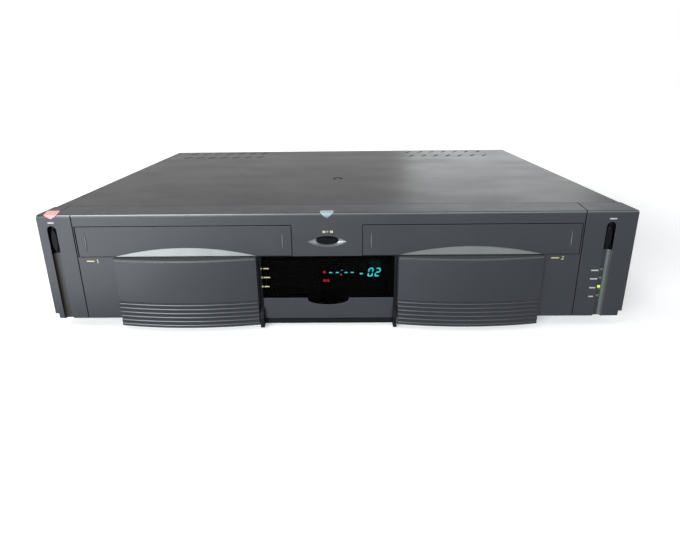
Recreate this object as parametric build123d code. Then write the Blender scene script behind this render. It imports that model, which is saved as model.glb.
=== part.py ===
from build123d import *
from math import atan2, cos, degrees, radians, sin, sqrt, tan
import os

# Dual deck video cassette recorder. X runs across the front from the viewer's left, Y runs away from the
# viewer, Z is up, and Z = 0 is the surface that the feet stand on. All sizes are in millimetres.

# Case
CASE_DEPTH = 400.0
CASE_HEIGHT = 105.5
FOOT_HEIGHT = 9.5
LEFT_CAP_WIDTH = 32.0
RIGHT_CAP_WIDTH = 47.0
BEZEL_DEPTH = 32.0
BEZEL_WALL = 4.5
BEZEL_END_WALL = 1.2
SHELL_WALL = 2.5
EDGE_ROUND = 2.3
SEAM_WIDTH = 0.9
SEAM_DEPTH = 2.0
SHEET = 1.0
COVER_STEP_HEIGHT = 6.0
COVER_STEP_INSET = 3.3
REAR_RECESS = 10.0
PAN_LIP = 14.0
OVERCUT = 1.0

# Flats of round pieces that nothing turns on, and of bores that run on a shaft
DISC_FLAT_COUNT = 24
JACK_FLAT_COUNT = 12
BORE_FLAT_COUNT = 6

# Clearances
RUNNING_GAP = 0.05
LOOSE_GAP = 0.3
PANEL_GAP = 0.6

# Cassette, and the slot door it goes in through
CASSETTE_WIDTH = 187.0
CASSETTE_HEIGHT = 25.0
CASSETTE_DEPTH = 103.0
CASSETTE_HUB_SPACING = 92.7
CASSETTE_HUB_INSET = 45.5
FLAP_SIDE_ROOM = 6.5
FLAP_END_MARGIN = 2.2
CENTRE_POST = 66.6
FLAP_HEIGHT = 29.0
FLAP_DROP = 11.8
FLAP_SKIN = 2.5
FLAP_AXIS_DROP = 1.9
FLAP_AXIS_DEPTH = 1.9
FLAP_PIN = 0.9
FLAP_PIN_LENGTH = 1.4
FLAP_RIB = 2.2
FLAP_RIB_HEIGHT = 11.0
SCALLOP_CHORD = 133.0
SCALLOP_RISE = 8.2
SCALLOP_DEPTH = 2.2
NOTCH_WIDTH = 1.5
NOTCH_HEIGHT = 19.0
NOTCH_INSET = 8.0
NOTCH_DEPTH = 0.7

# Control door, bowed in plan, that drops down in front of each deck's buttons
DOOR_WIDTH = 133.6
DOOR_FLOOR_GAP = 3.8
DOOR_TOP_DROP = 41.5
DOOR_BULGE = 11.3
DOOR_END = 5.4
DOOR_WALL = 2.0
DOOR_BACK_GAP = 0.5
DOOR_TOP_ROUND = 1.8
DOOR_FOOT_ROUND = 3.0
DOOR_AXIS_UP = 9.9
DOOR_AXIS_OUT = 1.5
DOOR_PIN = 1.1
DOOR_LUG = 1.9
DOOR_LUG_WIDTH = 2.6
DOOR_LUG_INSET = 2.2
DOOR_EAR = 2.2
DOOR_SWEEP = 3.4
RIB_COUNT = 6
RIB_PITCH = 4.2
RIB_GROOVE = 1.5
RIB_DEPTH = 0.8
RIB_FIRST_UP = 3.4

# Control bay behind each door, and its buttons
BAY_MARGIN = 3.8
BAY_TOP_DROP = 45.5
BAY_DEPTH = 14.0
BAY_SILL_UP = 5.0
PANEL_SHEET = 2.0
KEY_COUNT = 5
KEY_END_MARGIN = 9.0
KEY_WIDTH = 16.0
KEY_HEIGHT = 8.0
KEY_PROUD = 4.5
KEY_BEVEL = 0.8
KEY_FLANGE = 1.2
KEY_STEM = 3.0
KEY_UP = 28.0

# Centre of the front
CENTRE_GROOVE = 3.4
CENTRE_RABBET = 3.0
WINDOW_DROP = 41.8
WINDOW_HEIGHT = 42.4
WINDOW_FRAME = 4.0
BULGE_DROP = 85.7
BULGE_HALF_WIDTH = 19.8
BULGE_HALF_HEIGHT = 5.6
KICK_HEIGHT = 7.0
KICK_SETBACK = 2.5
KICK_SHEET = 3.0
COPY_DROP = 26.7
COPY_WIDTH = 20.4
COPY_HEIGHT = 7.0
EYE_WIDTH = 36.3
EYE_HEIGHT = 10.6
EYE_DROP = 27.3
EYE_DEPTH = 2.2
BUTTON_BEVEL = 0.8
BUTTON_FLANGE = 1.5
BUTTON_RIM = 1.2
DISPLAY_DEPTH = 9.0
DISPLAY_WIDTH = 78.0
DISPLAY_HEIGHT = 30.0

# End caps
CHANNEL_WIDTH = 8.5
CHANNEL_DEPTH = 4.0
CHANNEL_DROP = 10.3
LEFT_CHANNEL_IN = 12.5
RIGHT_CHANNEL_IN = 23.0
OVAL_WIDTH = 6.6
OVAL_HEIGHT = 22.0
OVAL_DROP = 25.0
OVAL_PROUD = 1.2
LAMP_DROPS = (57.6, 66.2, 75.3, 84.3)
LAMP_WIDTH = 3.4
LAMP_HEIGHT = 2.2
LAMP_SHIFT = 1.8

# Lenses on the front's top edge
LENS_PROUD = 0.15
CENTRE_LENS_WIDTH = 12.2
CENTRE_LENS_DROP = 4.9
CENTRE_LENS_BACK = 9.0
POWER_LENS_WIDTH = 12.2
POWER_LENS_DROP = 3.8
POWER_LENS_BACK = 16.0
POWER_LENS_IN = 13.6
POWER_LENS_LEAN = -0.35
TOP_SEAM_IN = 14.0
TOP_SEAM_SKEW = 6.0

# Top cover's vents and screw
VENT_LENGTH = 16.0
VENT_WIDTH = 3.2
VENT_SLANT = 35.0
VENT_PITCH = 19.0
VENT_COUNT = 7
VENT_ROWS = (340.0, 381.0)
VENT_LEFT_IN = 93.0
VENT_RIGHT_IN = 105.0
DIMPLE_BACK = 162.0
DIMPLE_RADIUS = 7.0
DIMPLE_DEPTH = 2.0
SCREW_HEAD = 3.2
SCREW_HEAD_HEIGHT = 1.6
SCREW_SHANK = 1.5
SCREW_LENGTH = 8.0

# Cassette carrier: a sled that runs back, and a tray that then drops
CARRIER_FRONT = 38.0
TRAY_DEPTH = 60.0
TRAY_WALL = 1.0
TRAY_LEDGE = 14.0
TRAY_GAP = 0.5
SLED_TRAVEL = 65.0
TRAY_DROP = 25.0
SIDE_GAP = 1.2
RUNNER = 3.0
RUNNER_LENGTH = 9.0
RUNNER_PROUD = 0.5
SLED_BRIDGE_GAP = 2.5
SLED_REACH = 18.0
SLED_SETBACK = 4.0
SLED_RIM = 14.0
SLED_BRIDGE = 12.0
SLED_RUNNERS_IN = (12.0, -6.0)
TRAY_RUNNERS_IN = (24.0, 6.0)
GUIDE_DROP = 12.0
TRAY_RUNNER_UP = 12.0

# Tape deck
DECK_MARGIN = 8.0
PLATE_DROP = 14.7
POST_WIDTH = 8.0
REEL_RADIUS = 19.0
REEL_THICK = 3.0
REEL_SPINDLE = 4.6
SPLINE_PROUD = 1.2
SPLINE_WIDTH = 1.6
SPLINE_SHORT = 2.0
REEL_LIFT = 1.0
REEL_TOP_GAP = 8.0
REEL_SHAFT = 1.5
DRUM_RADIUS = 31.0
DRUM_BEHIND = 37.0
DRUM_TILT = 5.97
DRUM_BASE_HEIGHT = 16.0
DRUM_TURN_HEIGHT = 15.0
DRUM_MOTOR_RADIUS = 24.0
DRUM_MOTOR_HEIGHT = 8.0
DRUM_SHAFT = 3.0
DRUM_SEAT = 4.5
DRUM_FOOT = 17.0
DRUM_SINK = 2.0
CAPSTAN_X = 64.0
CAPSTAN_BEHIND = 11.0
CAPSTAN_RADIUS = 1.5
CAPSTAN_HEIGHT = 30.0
FLYWHEEL_RADIUS = 25.0
FLYWHEEL_THICK = 6.0
ARM_PIVOT_X = 76.0
ARM_PIVOT_BEHIND = 41.0
ARM_PIVOT_PIN = 2.0
ARM_LENGTH = 30.0
ARM_TRAVEL = 22.0
ARM_THICK = 2.5
ARM_WIDTH = 8.0
ARM_LIFT = 7.0
ROLLER_RADIUS = 8.0
ROLLER_HEIGHT = 14.0

# Circuit boards
BOARD_GAP = 8.0
BOARD_THICK = 1.6
BOARD_UP = 13.5
MAIN_BOARD_IN = 45.0
BOARD_SPACE = 15.0
MAIN_BOARD_BACK_GAP = 4.0
SUPPLY_WIDTH = 127.0
SUPPLY_IN = 13.0
SUPPLY_BACK_GAP = 6.0
TRANSFORMER_SIZE = 50.0
TRANSFORMER_HEIGHT = 40.4
TRANSFORMER_IN = 17.0
TRANSFORMER_BACK = 15.0
TUNER_WIDTH = 50.0
TUNER_DEPTH = 70.0
TUNER_HEIGHT = 24.4
TUNER_IN = 60.0
TUNER_BACK_GAP = 20.0

# Rear
JACK_BARREL = 4.15
JACK_LENGTH = 8.0
JACK_BASE = 14.0
JACK_PITCH = 16.0
JACK_COLUMN_COUNT = 4
JACK_IN = 235.0
JACK_Z = 40.0
RF_RADIUS = 4.7
RF_LENGTH = 8.0
RF_PITCH = 24.0
RF_IN = 85.0
RF_Z = 62.0
GLAND_IN = 60.0
GLAND_PROUD = 3.0
GLAND_Z = 36.0
GLAND_SIZE = 16.0
GLAND_HOLE = 4.0

# Feet
FOOT_RADIUS = 14.0
FOOT_INSET_X = 45.0
FOOT_INSET_Y = 55.0

# Places worked out from the sizes above
FLAP_WIDTH = CASSETTE_WIDTH + 2 * FLAP_SIDE_ROOM
CASE_WIDTH = LEFT_CAP_WIDTH + RIGHT_CAP_WIDTH + CENTRE_POST + 2 * (FLAP_WIDTH + FLAP_END_MARGIN)
DECK_OFFSET = (CENTRE_POST + FLAP_WIDTH) / 2
FRONT_Y = DOOR_BULGE - (CASE_DEPTH + DOOR_BULGE) / 2
REAR_Y = FRONT_Y + CASE_DEPTH
TOP_Z = FOOT_HEIGHT + CASE_HEIGHT
LEFT_X = -CASE_WIDTH / 2
RIGHT_X = CASE_WIDTH / 2
BEZEL_LEFT = LEFT_X + LEFT_CAP_WIDTH
BEZEL_RIGHT = RIGHT_X - RIGHT_CAP_WIDTH
AXIS_X = (BEZEL_LEFT + BEZEL_RIGHT) / 2
BEZEL_BACK = FRONT_Y + BEZEL_DEPTH
FLAP_TOP = TOP_Z - FLAP_DROP
FLAP_BOTTOM = FLAP_TOP - FLAP_HEIGHT
FLAP_AXIS = (FRONT_Y + FLAP_AXIS_DEPTH, FLAP_TOP - FLAP_AXIS_DROP)
DOOR_TOP = TOP_Z - DOOR_TOP_DROP
DOOR_BOTTOM = DOOR_FLOOR_GAP
DOOR_AXIS = (FRONT_Y - DOOR_AXIS_OUT, DOOR_BOTTOM + DOOR_AXIS_UP)
SWEEP_TOP = DOOR_AXIS[1] + DOOR_SWEEP
CENTRE_HALF_WIDTH = DECK_OFFSET - DOOR_WIDTH / 2 - PANEL_GAP - CENTRE_GROOVE
BAY_HALF_WIDTH = DOOR_WIDTH / 2 - DOOR_WALL - BAY_MARGIN
PANEL_Y = FRONT_Y + BAY_DEPTH
BAY_TOP = TOP_Z - BAY_TOP_DROP
BAY_BOTTOM = SWEEP_TOP + BAY_SILL_UP
WINDOW_TOP = TOP_Z - WINDOW_DROP
WINDOW_BOTTOM = WINDOW_TOP - WINDOW_HEIGHT
PAN_TOP = FOOT_HEIGHT + SHEET
COVER_SOFFIT = TOP_Z - SHEET
SLOT_MIDDLE = (FLAP_TOP + FLAP_BOTTOM) / 2
TRAY_FLOOR = SLOT_MIDDLE - CASSETTE_HEIGHT / 2 - TRAY_GAP
PLATE_Z = TRAY_FLOOR - TRAY_DROP - PLATE_DROP
PLATE_TOP = PLATE_Z + SHEET
TRAY_CEILING = SLOT_MIDDLE + CASSETTE_HEIGHT / 2 + TRAY_GAP
TRAY_HALF = CASSETTE_WIDTH / 2 + TRAY_GAP
SLED_HALF = TRAY_HALF + TRAY_WALL + SIDE_GAP
RAIL_HALF = SLED_HALF + SHEET + SIDE_GAP
TRAY_FRONT = FRONT_Y + CARRIER_FRONT
TRAY_BACK = TRAY_FRONT + TRAY_DEPTH
LOADED_BACK = TRAY_BACK + SLED_TRAVEL
HUB_Y = LOADED_BACK - CASSETTE_DEPTH + CASSETTE_HUB_INSET
REEL_Z = PLATE_TOP + REEL_LIFT
DRUM_Y = LOADED_BACK + DRUM_BEHIND
DECK_BACK = DRUM_Y + DRUM_RADIUS + DECK_MARGIN
BOARD_FRONT = DECK_BACK + BOARD_GAP
REAR_PANEL_Y = REAR_Y - REAR_RECESS
BOARD_Z = PAN_TOP + BOARD_UP
BOARD_TOP = BOARD_Z + BOARD_THICK
JACK_X = RIGHT_X - JACK_IN
RF_X = RIGHT_X - RF_IN
GLAND_X = LEFT_X + GLAND_IN


def block(x, y, z):
    """Box between a low and a high value on each axis."""
    size = Box(x[1] - x[0], y[1] - y[0], z[1] - z[0])
    return Pos((x[0] + x[1]) / 2, (y[0] + y[1]) / 2, (z[0] + z[1]) / 2) * size


def upright(x, y, z, radius):
    """Cylinder along Z between two heights."""
    return Pos(x, y, (z[0] + z[1]) / 2) * Cylinder(radius, z[1] - z[0])


def disc(x, y, z, radius):
    """Many-sided disc along Z between two heights."""
    return from_above(Pos(x, y) * RegularPolygon(radius, DISC_FLAT_COUNT), z)


def crossways(x, y, z, radius):
    """Cylinder along X between two places."""
    return Pos((x[0] + x[1]) / 2, y, z) * Rot(0, 90, 0) * Cylinder(radius, x[1] - x[0])


def lengthways(x, y, z, radius):
    """Cylinder along Y between two places."""
    return Pos(x, (y[0] + y[1]) / 2, z) * Rot(90, 0, 0) * Cylinder(radius, y[1] - y[0])


def from_front(profile, y):
    """Solid with a profile drawn in front view (X across, Z up), between two depths."""
    return extrude(Plane.XZ.offset(-y[0]) * profile, amount=y[1] - y[0], dir=(0, 1, 0))


def from_side(profile, x):
    """Solid with a profile drawn in side view (Y across, Z up), between two places in X."""
    return extrude(Plane.YZ.offset(x[0]) * profile, amount=x[1] - x[0])


def from_above(profile, z):
    """Solid with a profile drawn in plan, between two heights."""
    return extrude(Plane.XY.offset(z[0]) * profile, amount=z[1] - z[0])


def deck_x(side):
    """Middle of the deck on one side: -1 is the left one, 1 the right one."""
    return AXIS_X + side * DECK_OFFSET


def front_blank(x):
    """Solid stretch of the moulded front between two places in X, with its rounded front edges."""
    middle = Pos((FRONT_Y + BEZEL_BACK) / 2, FOOT_HEIGHT + CASE_HEIGHT / 2)
    outline = middle * Rectangle(BEZEL_DEPTH, CASE_HEIGHT)
    corners = outline.vertices().group_by(Axis.X)[0]
    return from_side(fillet(corners, EDGE_ROUND), x)


def seam(x):
    """Groove down the front along the joint between two mouldings."""
    return block(x, (FRONT_Y - OVERCUT, FRONT_Y + SEAM_DEPTH), (FOOT_HEIGHT - OVERCUT, TOP_Z + OVERCUT))


def top_seam(x, y):
    """Groove over a cap's top, straight or aslant, from one plan point to another."""
    half = SEAM_WIDTH / 2
    corners = [(x[0] - half, y[0]), (x[0] + half, y[0]), (x[1] + half, y[1]), (x[1] - half, y[1])]
    return from_above(make_face(Polyline(*corners, close=True)), (TOP_Z - SEAM_DEPTH, TOP_Z + OVERCUT))


def socket(x, place, flat):
    """Square socket along X between two places, whose four flats bear on a round pin."""
    return block(x, (place[0] - flat, place[0] + flat), (place[1] - flat, place[1] + flat))


def flat_bore(z, radius):
    """Six-sided bore along Z, whose flats run on a round shaft at the middle."""
    return from_above(RegularPolygon(radius, BORE_FLAT_COUNT, major_radius=False), z)


def lens_wedge(x, width, drop, back, lean, gap):
    """Downward pointing wedge over the top front edge; the gap enlarges it into its own pocket."""
    top = TOP_Z + LENS_PROUD
    half = width / 2
    face = make_face(Polyline((x - half, top), (x + half, top), (x, TOP_Z - drop), close=True))
    if gap:
        face = offset(face, gap, kind=Kind.INTERSECTION)
    start = Plane.XZ.offset(LENS_PROUD + gap - FRONT_Y)
    length = (LENS_PROUD + back + 2 * gap) * sqrt(1 + lean ** 2)
    return extrude(start * face, amount=length, dir=(lean, 1, 0))


def centre_lens(gap):
    """Pale lens over the middle of the front."""
    return lens_wedge(AXIS_X, CENTRE_LENS_WIDTH, CENTRE_LENS_DROP, CENTRE_LENS_BACK, 0, gap)


def power_lens(gap):
    """Lens of the power light, over the left corner, leaning outwards as it runs back."""
    x = LEFT_X + POWER_LENS_IN
    return lens_wedge(x, POWER_LENS_WIDTH, POWER_LENS_DROP, POWER_LENS_BACK, POWER_LENS_LEAN, gap)


def eye_profile(width, height):
    """Eye shape made of two arcs."""
    half = width / 2
    upper = ThreePointArc((-half, 0), (0, height / 2), (half, 0))
    lower = ThreePointArc((half, 0), (0, -height / 2), (-half, 0))
    return make_face(Curve() + [upper, lower])


def oval_button(x, z, width, height, back):
    """Push button with an elliptical cap and a rim behind the front that keeps it in."""
    cap = Pos(x, z) * Ellipse(width / 2, height / 2)
    rim = Pos(x, z) * Rectangle(width + 2 * BUTTON_RIM, height + 2 * BUTTON_RIM)
    button = from_front(cap, (back[0], back[1]))
    button = chamfer(button.faces().sort_by(Axis.Y)[0].edges(), BUTTON_BEVEL)
    return button + from_front(rim, (back[1], back[1] + BUTTON_FLANGE))


def front_bezel():
    """Moulded front between the end caps, open where the doors, keys and window go."""
    bezel = front_blank((BEZEL_LEFT, BEZEL_RIGHT))
    inner_x = (BEZEL_LEFT + BEZEL_END_WALL, BEZEL_RIGHT - BEZEL_END_WALL)
    inner_z = (FOOT_HEIGHT + SHELL_WALL, TOP_Z - SHELL_WALL)
    bezel -= block(inner_x, (FRONT_Y + BEZEL_WALL, BEZEL_BACK + OVERCUT), inner_z)
    wall_y = (FRONT_Y - OVERCUT, FRONT_Y + BEZEL_WALL + OVERCUT)
    for side in (-1, 1):
        x = deck_x(side)
        flap_half = FLAP_WIDTH / 2 + PANEL_GAP
        flap_z = (FLAP_BOTTOM - PANEL_GAP, FLAP_TOP + PANEL_GAP)
        bezel -= block((x - flap_half, x + flap_half), wall_y, flap_z)
        hole = FLAP_WIDTH / 2 + FLAP_PIN_LENGTH + RUNNING_GAP
        bezel -= socket((x - hole, x + hole), FLAP_AXIS, FLAP_PIN + RUNNING_GAP)
        bezel -= block((x - BAY_HALF_WIDTH, x + BAY_HALF_WIDTH), wall_y, (SWEEP_TOP - OVERCUT, BAY_TOP))
        foot_half = DOOR_WIDTH / 2 + PANEL_GAP
        sweep = DOOR_AXIS_UP + DOOR_EAR
        bezel -= block((x - foot_half, x + foot_half), (FRONT_Y - OVERCUT, FRONT_Y + sweep), (0, SWEEP_TOP))
        bezel += door_lugs(x)
    rabbet = CENTRE_HALF_WIDTH + CENTRE_GROOVE
    centre = (AXIS_X - rabbet, AXIS_X + rabbet)
    bezel -= block(centre, (FRONT_Y - OVERCUT, FRONT_Y + CENTRE_RABBET), (0, WINDOW_TOP + PANEL_GAP / 2))
    view = CENTRE_HALF_WIDTH - WINDOW_FRAME
    bezel -= block((AXIS_X - view, AXIS_X + view), wall_y,
                   (WINDOW_BOTTOM + WINDOW_FRAME, WINDOW_TOP - WINDOW_FRAME))
    eye = Pos(AXIS_X, TOP_Z - EYE_DROP) * eye_profile(EYE_WIDTH, EYE_HEIGHT)
    bezel -= from_front(eye, (FRONT_Y - OVERCUT, FRONT_Y + EYE_DEPTH))
    copy_hole = Ellipse(COPY_WIDTH / 2 + LOOSE_GAP, COPY_HEIGHT / 2 + LOOSE_GAP)
    bezel -= from_front(Pos(AXIS_X, TOP_Z - COPY_DROP) * copy_hole, wall_y)
    bezel -= centre_lens(RUNNING_GAP)
    bezel -= seam((BEZEL_LEFT - OVERCUT, BEZEL_LEFT + SEAM_WIDTH / 2))
    bezel -= seam((BEZEL_RIGHT - SEAM_WIDTH / 2, BEZEL_RIGHT + OVERCUT))
    return bezel


def door_lugs(x):
    """Pair of lugs that stand from the bezel into a control door's hollow, each with its pivot pin."""
    y, z = DOOR_AXIS
    outer = DOOR_WIDTH / 2 - DOOR_WALL - DOOR_LUG_INSET
    flat = DOOR_LUG * tan(radians(22.5))
    root = (FRONT_Y + BEZEL_WALL, SWEEP_TOP)
    root_top = root[1] + DOOR_LUG
    tongue = make_face(Polyline((y - flat, z - DOOR_LUG), (y + flat, z - DOOR_LUG), root, (root[0], root_top),
                                (FRONT_Y, root_top), (y - flat, z + DOOR_LUG), (y - DOOR_LUG, z + flat),
                                (y - DOOR_LUG, z - flat), close=True))
    lugs = Part()
    for side in (-1, 1):
        span = sorted((x + side * outer, x + side * (outer - DOOR_LUG_WIDTH)))
        pin_root = outer - DOOR_LUG_WIDTH / 2
        pin_span = sorted((x + side * pin_root, x + side * (DOOR_WIDTH / 2 - LOOSE_GAP)))
        lugs += from_side(tongue, span) + crossways(pin_span, y, z, DOOR_PIN)
    return lugs


def door_plan(out, half, back):
    """Plan outline of a control door: a bowed front and a straight back."""
    end_y = FRONT_Y - DOOR_END + out
    middle_y = FRONT_Y - DOOR_BULGE + out
    bow = ThreePointArc((-half, end_y), (0, middle_y), (half, end_y))
    rest = Polyline((half, end_y), (half, back), (-half, back), (-half, end_y))
    return make_face(Curve() + [bow, rest])


def bow_radius():
    """Radius of the control door's bowed face."""
    half = DOOR_WIDTH / 2
    rise = DOOR_BULGE - DOOR_END
    return (half ** 2 + rise ** 2) / (2 * rise)


def control_door(side):
    """Bowed shell door with finger ribs along its foot, hinged near its lower edge."""
    back = FRONT_Y - DOOR_BACK_GAP
    half = DOOR_WIDTH / 2
    y, z = DOOR_AXIS
    door = from_above(door_plan(0, half, back), (DOOR_BOTTOM, DOOR_TOP))
    front_edges = door.edges().filter_by(GeomType.CIRCLE).sort_by(Axis.Z)
    door = fillet(front_edges[-1], DOOR_TOP_ROUND)
    front_edges = door.edges().filter_by(GeomType.CIRCLE).sort_by(Axis.Z)
    door = fillet(front_edges[0], DOOR_FOOT_ROUND)
    hollow = door_plan(DOOR_WALL, half - DOOR_WALL, back + OVERCUT)
    door -= from_above(hollow, (DOOR_BOTTOM + DOOR_WALL, DOOR_TOP - DOOR_WALL))
    radius = bow_radius()
    centre_y = FRONT_Y - DOOR_BULGE + radius
    bow_y = (FRONT_Y - DOOR_BULGE - OVERCUT, back)
    for index in range(RIB_COUNT):
        low = DOOR_BOTTOM + RIB_FIRST_UP + index * RIB_PITCH
        ring = upright(0, centre_y, (low, low + RIB_GROOVE), radius + OVERCUT)
        ring -= upright(0, centre_y, (low, low + RIB_GROOVE), radius - RIB_DEPTH)
        door -= ring & block((-half - OVERCUT, half + OVERCUT), bow_y, (low, low + RIB_GROOVE))
    for end in (-1, 1):
        span = sorted((end * half, end * (half - DOOR_WALL)))
        door += block(span, (y - DOOR_EAR, y + DOOR_EAR), (z - DOOR_EAR, z + DOOR_EAR))
    door -= socket((-half - OVERCUT, half + OVERCUT), DOOR_AXIS, DOOR_PIN + RUNNING_GAP)
    return Pos(deck_x(side), 0, 0) * door


def scallop():
    """Finger recess in a flap: its floor starts flush at the foot and sinks towards the arch."""
    half = SCALLOP_CHORD / 2
    arch = ThreePointArc((-half, 0), (0, SCALLOP_RISE), (half, 0))
    face = Pos(0, FLAP_BOTTOM) * make_face(Curve() + [arch, Line((half, 0), (-half, 0))])
    outline = from_front(face, (FRONT_Y - OVERCUT, FRONT_Y + SCALLOP_DEPTH))
    top = (FRONT_Y + SCALLOP_DEPTH, FLAP_BOTTOM + SCALLOP_RISE)
    wedge = make_face(Polyline((FRONT_Y, FLAP_BOTTOM), top, (FRONT_Y - OVERCUT, top[1]),
                               (FRONT_Y - OVERCUT, FLAP_BOTTOM), close=True))
    return outline & from_side(wedge, (-half, half))


def cassette_flap(side):
    """Slot door that swings inward from pins near its top edge, with a scalloped finger recess."""
    half = FLAP_WIDTH / 2
    flap = block((-half, half), (FRONT_Y, FRONT_Y + FLAP_SKIN), (FLAP_BOTTOM, FLAP_TOP))
    rib_y = (FRONT_Y + FLAP_SKIN, FRONT_Y + FLAP_SKIN + FLAP_RIB)
    half_chord = SCALLOP_CHORD / 2
    flap += block((-half_chord, half_chord), rib_y, (FLAP_BOTTOM, FLAP_BOTTOM + FLAP_RIB_HEIGHT))
    flap -= scallop()
    pin = half + FLAP_PIN_LENGTH
    flap += crossways((-pin, pin), *FLAP_AXIS, FLAP_PIN)
    for end in (-1, 1):
        middle = end * (half - NOTCH_INSET)
        z = (FLAP_BOTTOM + FLAP_TOP) / 2
        notch = Pos(middle, z) * eye_profile(NOTCH_HEIGHT, NOTCH_WIDTH).rotate(Axis.Z, 90)
        flap -= from_front(notch, (FRONT_Y - OVERCUT, FRONT_Y + NOTCH_DEPTH))
    return Pos(deck_x(side), 0, 0) * flap


def key_x(index):
    """Place of one key along its row, from the deck's middle."""
    reach = BAY_HALF_WIDTH - KEY_END_MARGIN - KEY_WIDTH / 2
    return reach * (2 * index / (KEY_COUNT - 1) - 1)


def key_z():
    """Height of the key row."""
    return BAY_BOTTOM + KEY_UP


def control_panel(side):
    """Open box behind the control door, whose floor carries the keys."""
    wall = PANEL_SHEET
    half = BAY_HALF_WIDTH + wall
    low, high = BAY_BOTTOM - wall, BAY_TOP + wall
    panel = block((-half, half), (FRONT_Y + BEZEL_WALL, PANEL_Y + wall), (low, high))
    panel -= block((-BAY_HALF_WIDTH, BAY_HALF_WIDTH), (FRONT_Y, PANEL_Y), (BAY_BOTTOM, BAY_TOP))
    hole = Rectangle(KEY_WIDTH + 2 * LOOSE_GAP, KEY_HEIGHT + 2 * LOOSE_GAP)
    for index in range(KEY_COUNT):
        place = Pos(key_x(index), key_z())
        panel -= from_front(place * hole, (PANEL_Y - OVERCUT, PANEL_Y + wall + OVERCUT))
    return Pos(deck_x(side), 0, 0) * panel


def key(side, index):
    """One push key, with a flange behind the panel that keeps it in."""
    face = Rectangle(KEY_WIDTH, KEY_HEIGHT)
    body = from_front(face, (PANEL_Y - KEY_PROUD, PANEL_Y + PANEL_SHEET))
    body = chamfer(body.faces().sort_by(Axis.Y)[0].edges(), KEY_BEVEL)
    flange = Rectangle(KEY_WIDTH + 2 * KEY_FLANGE, KEY_HEIGHT + 2 * KEY_FLANGE)
    body += from_front(flange, (PANEL_Y + PANEL_SHEET, PANEL_Y + PANEL_SHEET + KEY_STEM))
    return Pos(deck_x(side) + key_x(index), 0, key_z()) * body


def display_window():
    """Smoked window over the display, with the oval swell on its lower edge."""
    face = Pos(AXIS_X, (WINDOW_TOP + WINDOW_BOTTOM) / 2) * Rectangle(2 * CENTRE_HALF_WIDTH, WINDOW_HEIGHT)
    face += Pos(AXIS_X, TOP_Z - BULGE_DROP) * Ellipse(BULGE_HALF_WIDTH, BULGE_HALF_HEIGHT)
    return from_front(face, (FRONT_Y, FRONT_Y + CENTRE_RABBET))


def lower_panel():
    """Trim panel under the window, cut to the swell on the window's edge."""
    low, high = FOOT_HEIGHT, WINDOW_BOTTOM - RUNNING_GAP
    face = Pos(AXIS_X, (low + high) / 2) * Rectangle(2 * CENTRE_HALF_WIDTH, high - low)
    swell = Ellipse(BULGE_HALF_WIDTH + RUNNING_GAP, BULGE_HALF_HEIGHT + RUNNING_GAP)
    face -= Pos(AXIS_X, TOP_Z - BULGE_DROP) * swell
    return from_front(face, (FRONT_Y, FRONT_Y + CENTRE_RABBET))


def kick_strip():
    """Dark strip under the front's middle, set back from it."""
    half = CENTRE_HALF_WIDTH + CENTRE_GROOVE
    x = (AXIS_X - half, AXIS_X + half)
    y = (FRONT_Y + KICK_SETBACK, FRONT_Y + KICK_SETBACK + KICK_SHEET)
    return block(x, y, (FOOT_HEIGHT - KICK_HEIGHT, FOOT_HEIGHT))


def display_module():
    """Fluorescent display tube on its circuit board, behind the window."""
    z = (WINDOW_TOP + WINDOW_BOTTOM) / 2
    tube = Pos(AXIS_X, z) * Rectangle(DISPLAY_WIDTH, DISPLAY_HEIGHT)
    board = Pos(AXIS_X, z) * Rectangle(2 * CENTRE_HALF_WIDTH, WINDOW_HEIGHT)
    y = FRONT_Y + BEZEL_WALL
    back = y + DISPLAY_DEPTH
    return from_front(board, (back, back + BOARD_THICK)) + from_front(tube, (y, back))


def channel(x, gap):
    """Arched upright channel in an end cap; the gap grows it into its own wall."""
    half = CHANNEL_WIDTH / 2 + gap
    top = TOP_Z - CHANNEL_DROP - CHANNEL_WIDTH / 2
    low = FOOT_HEIGHT - OVERCUT
    face = Pos(x, (top + low) / 2) * Rectangle(2 * half, top - low)
    face += Pos(x, top) * Circle(half)
    return from_front(face, (FRONT_Y - OVERCUT, FRONT_Y + CHANNEL_DEPTH + gap))


def end_cap(x, outer, channel_x):
    """Hollow moulded end of the front, with an upright channel for a button."""
    cap = front_blank(x)
    hollow = block((x[0] + SHELL_WALL, x[1] - SHELL_WALL), (FRONT_Y + BEZEL_WALL, BEZEL_BACK + OVERCUT),
                   (FOOT_HEIGHT + SHELL_WALL, TOP_Z - SHELL_WALL))
    cap -= hollow - channel(channel_x, SHELL_WALL)
    cap -= channel(channel_x, 0)
    hole = Ellipse(OVAL_WIDTH / 2 + LOOSE_GAP, OVAL_HEIGHT / 2 + LOOSE_GAP)
    cap -= from_front(Pos(channel_x, TOP_Z - OVAL_DROP) * hole, (FRONT_Y, FRONT_Y + BEZEL_DEPTH))
    step = sorted((outer, outer + COVER_STEP_INSET * (1 if outer < 0 else -1)))
    step_z = (FOOT_HEIGHT - OVERCUT, FOOT_HEIGHT + COVER_STEP_HEIGHT)
    return cap - block(step, (FRONT_Y - OVERCUT, BEZEL_BACK + OVERCUT), step_z)


def left_channel_x():
    """Middle of the left cap's channel."""
    return LEFT_X + LEFT_CHANNEL_IN


def right_channel_x():
    """Middle of the right cap's channel."""
    return RIGHT_X - RIGHT_CHANNEL_IN


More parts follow.
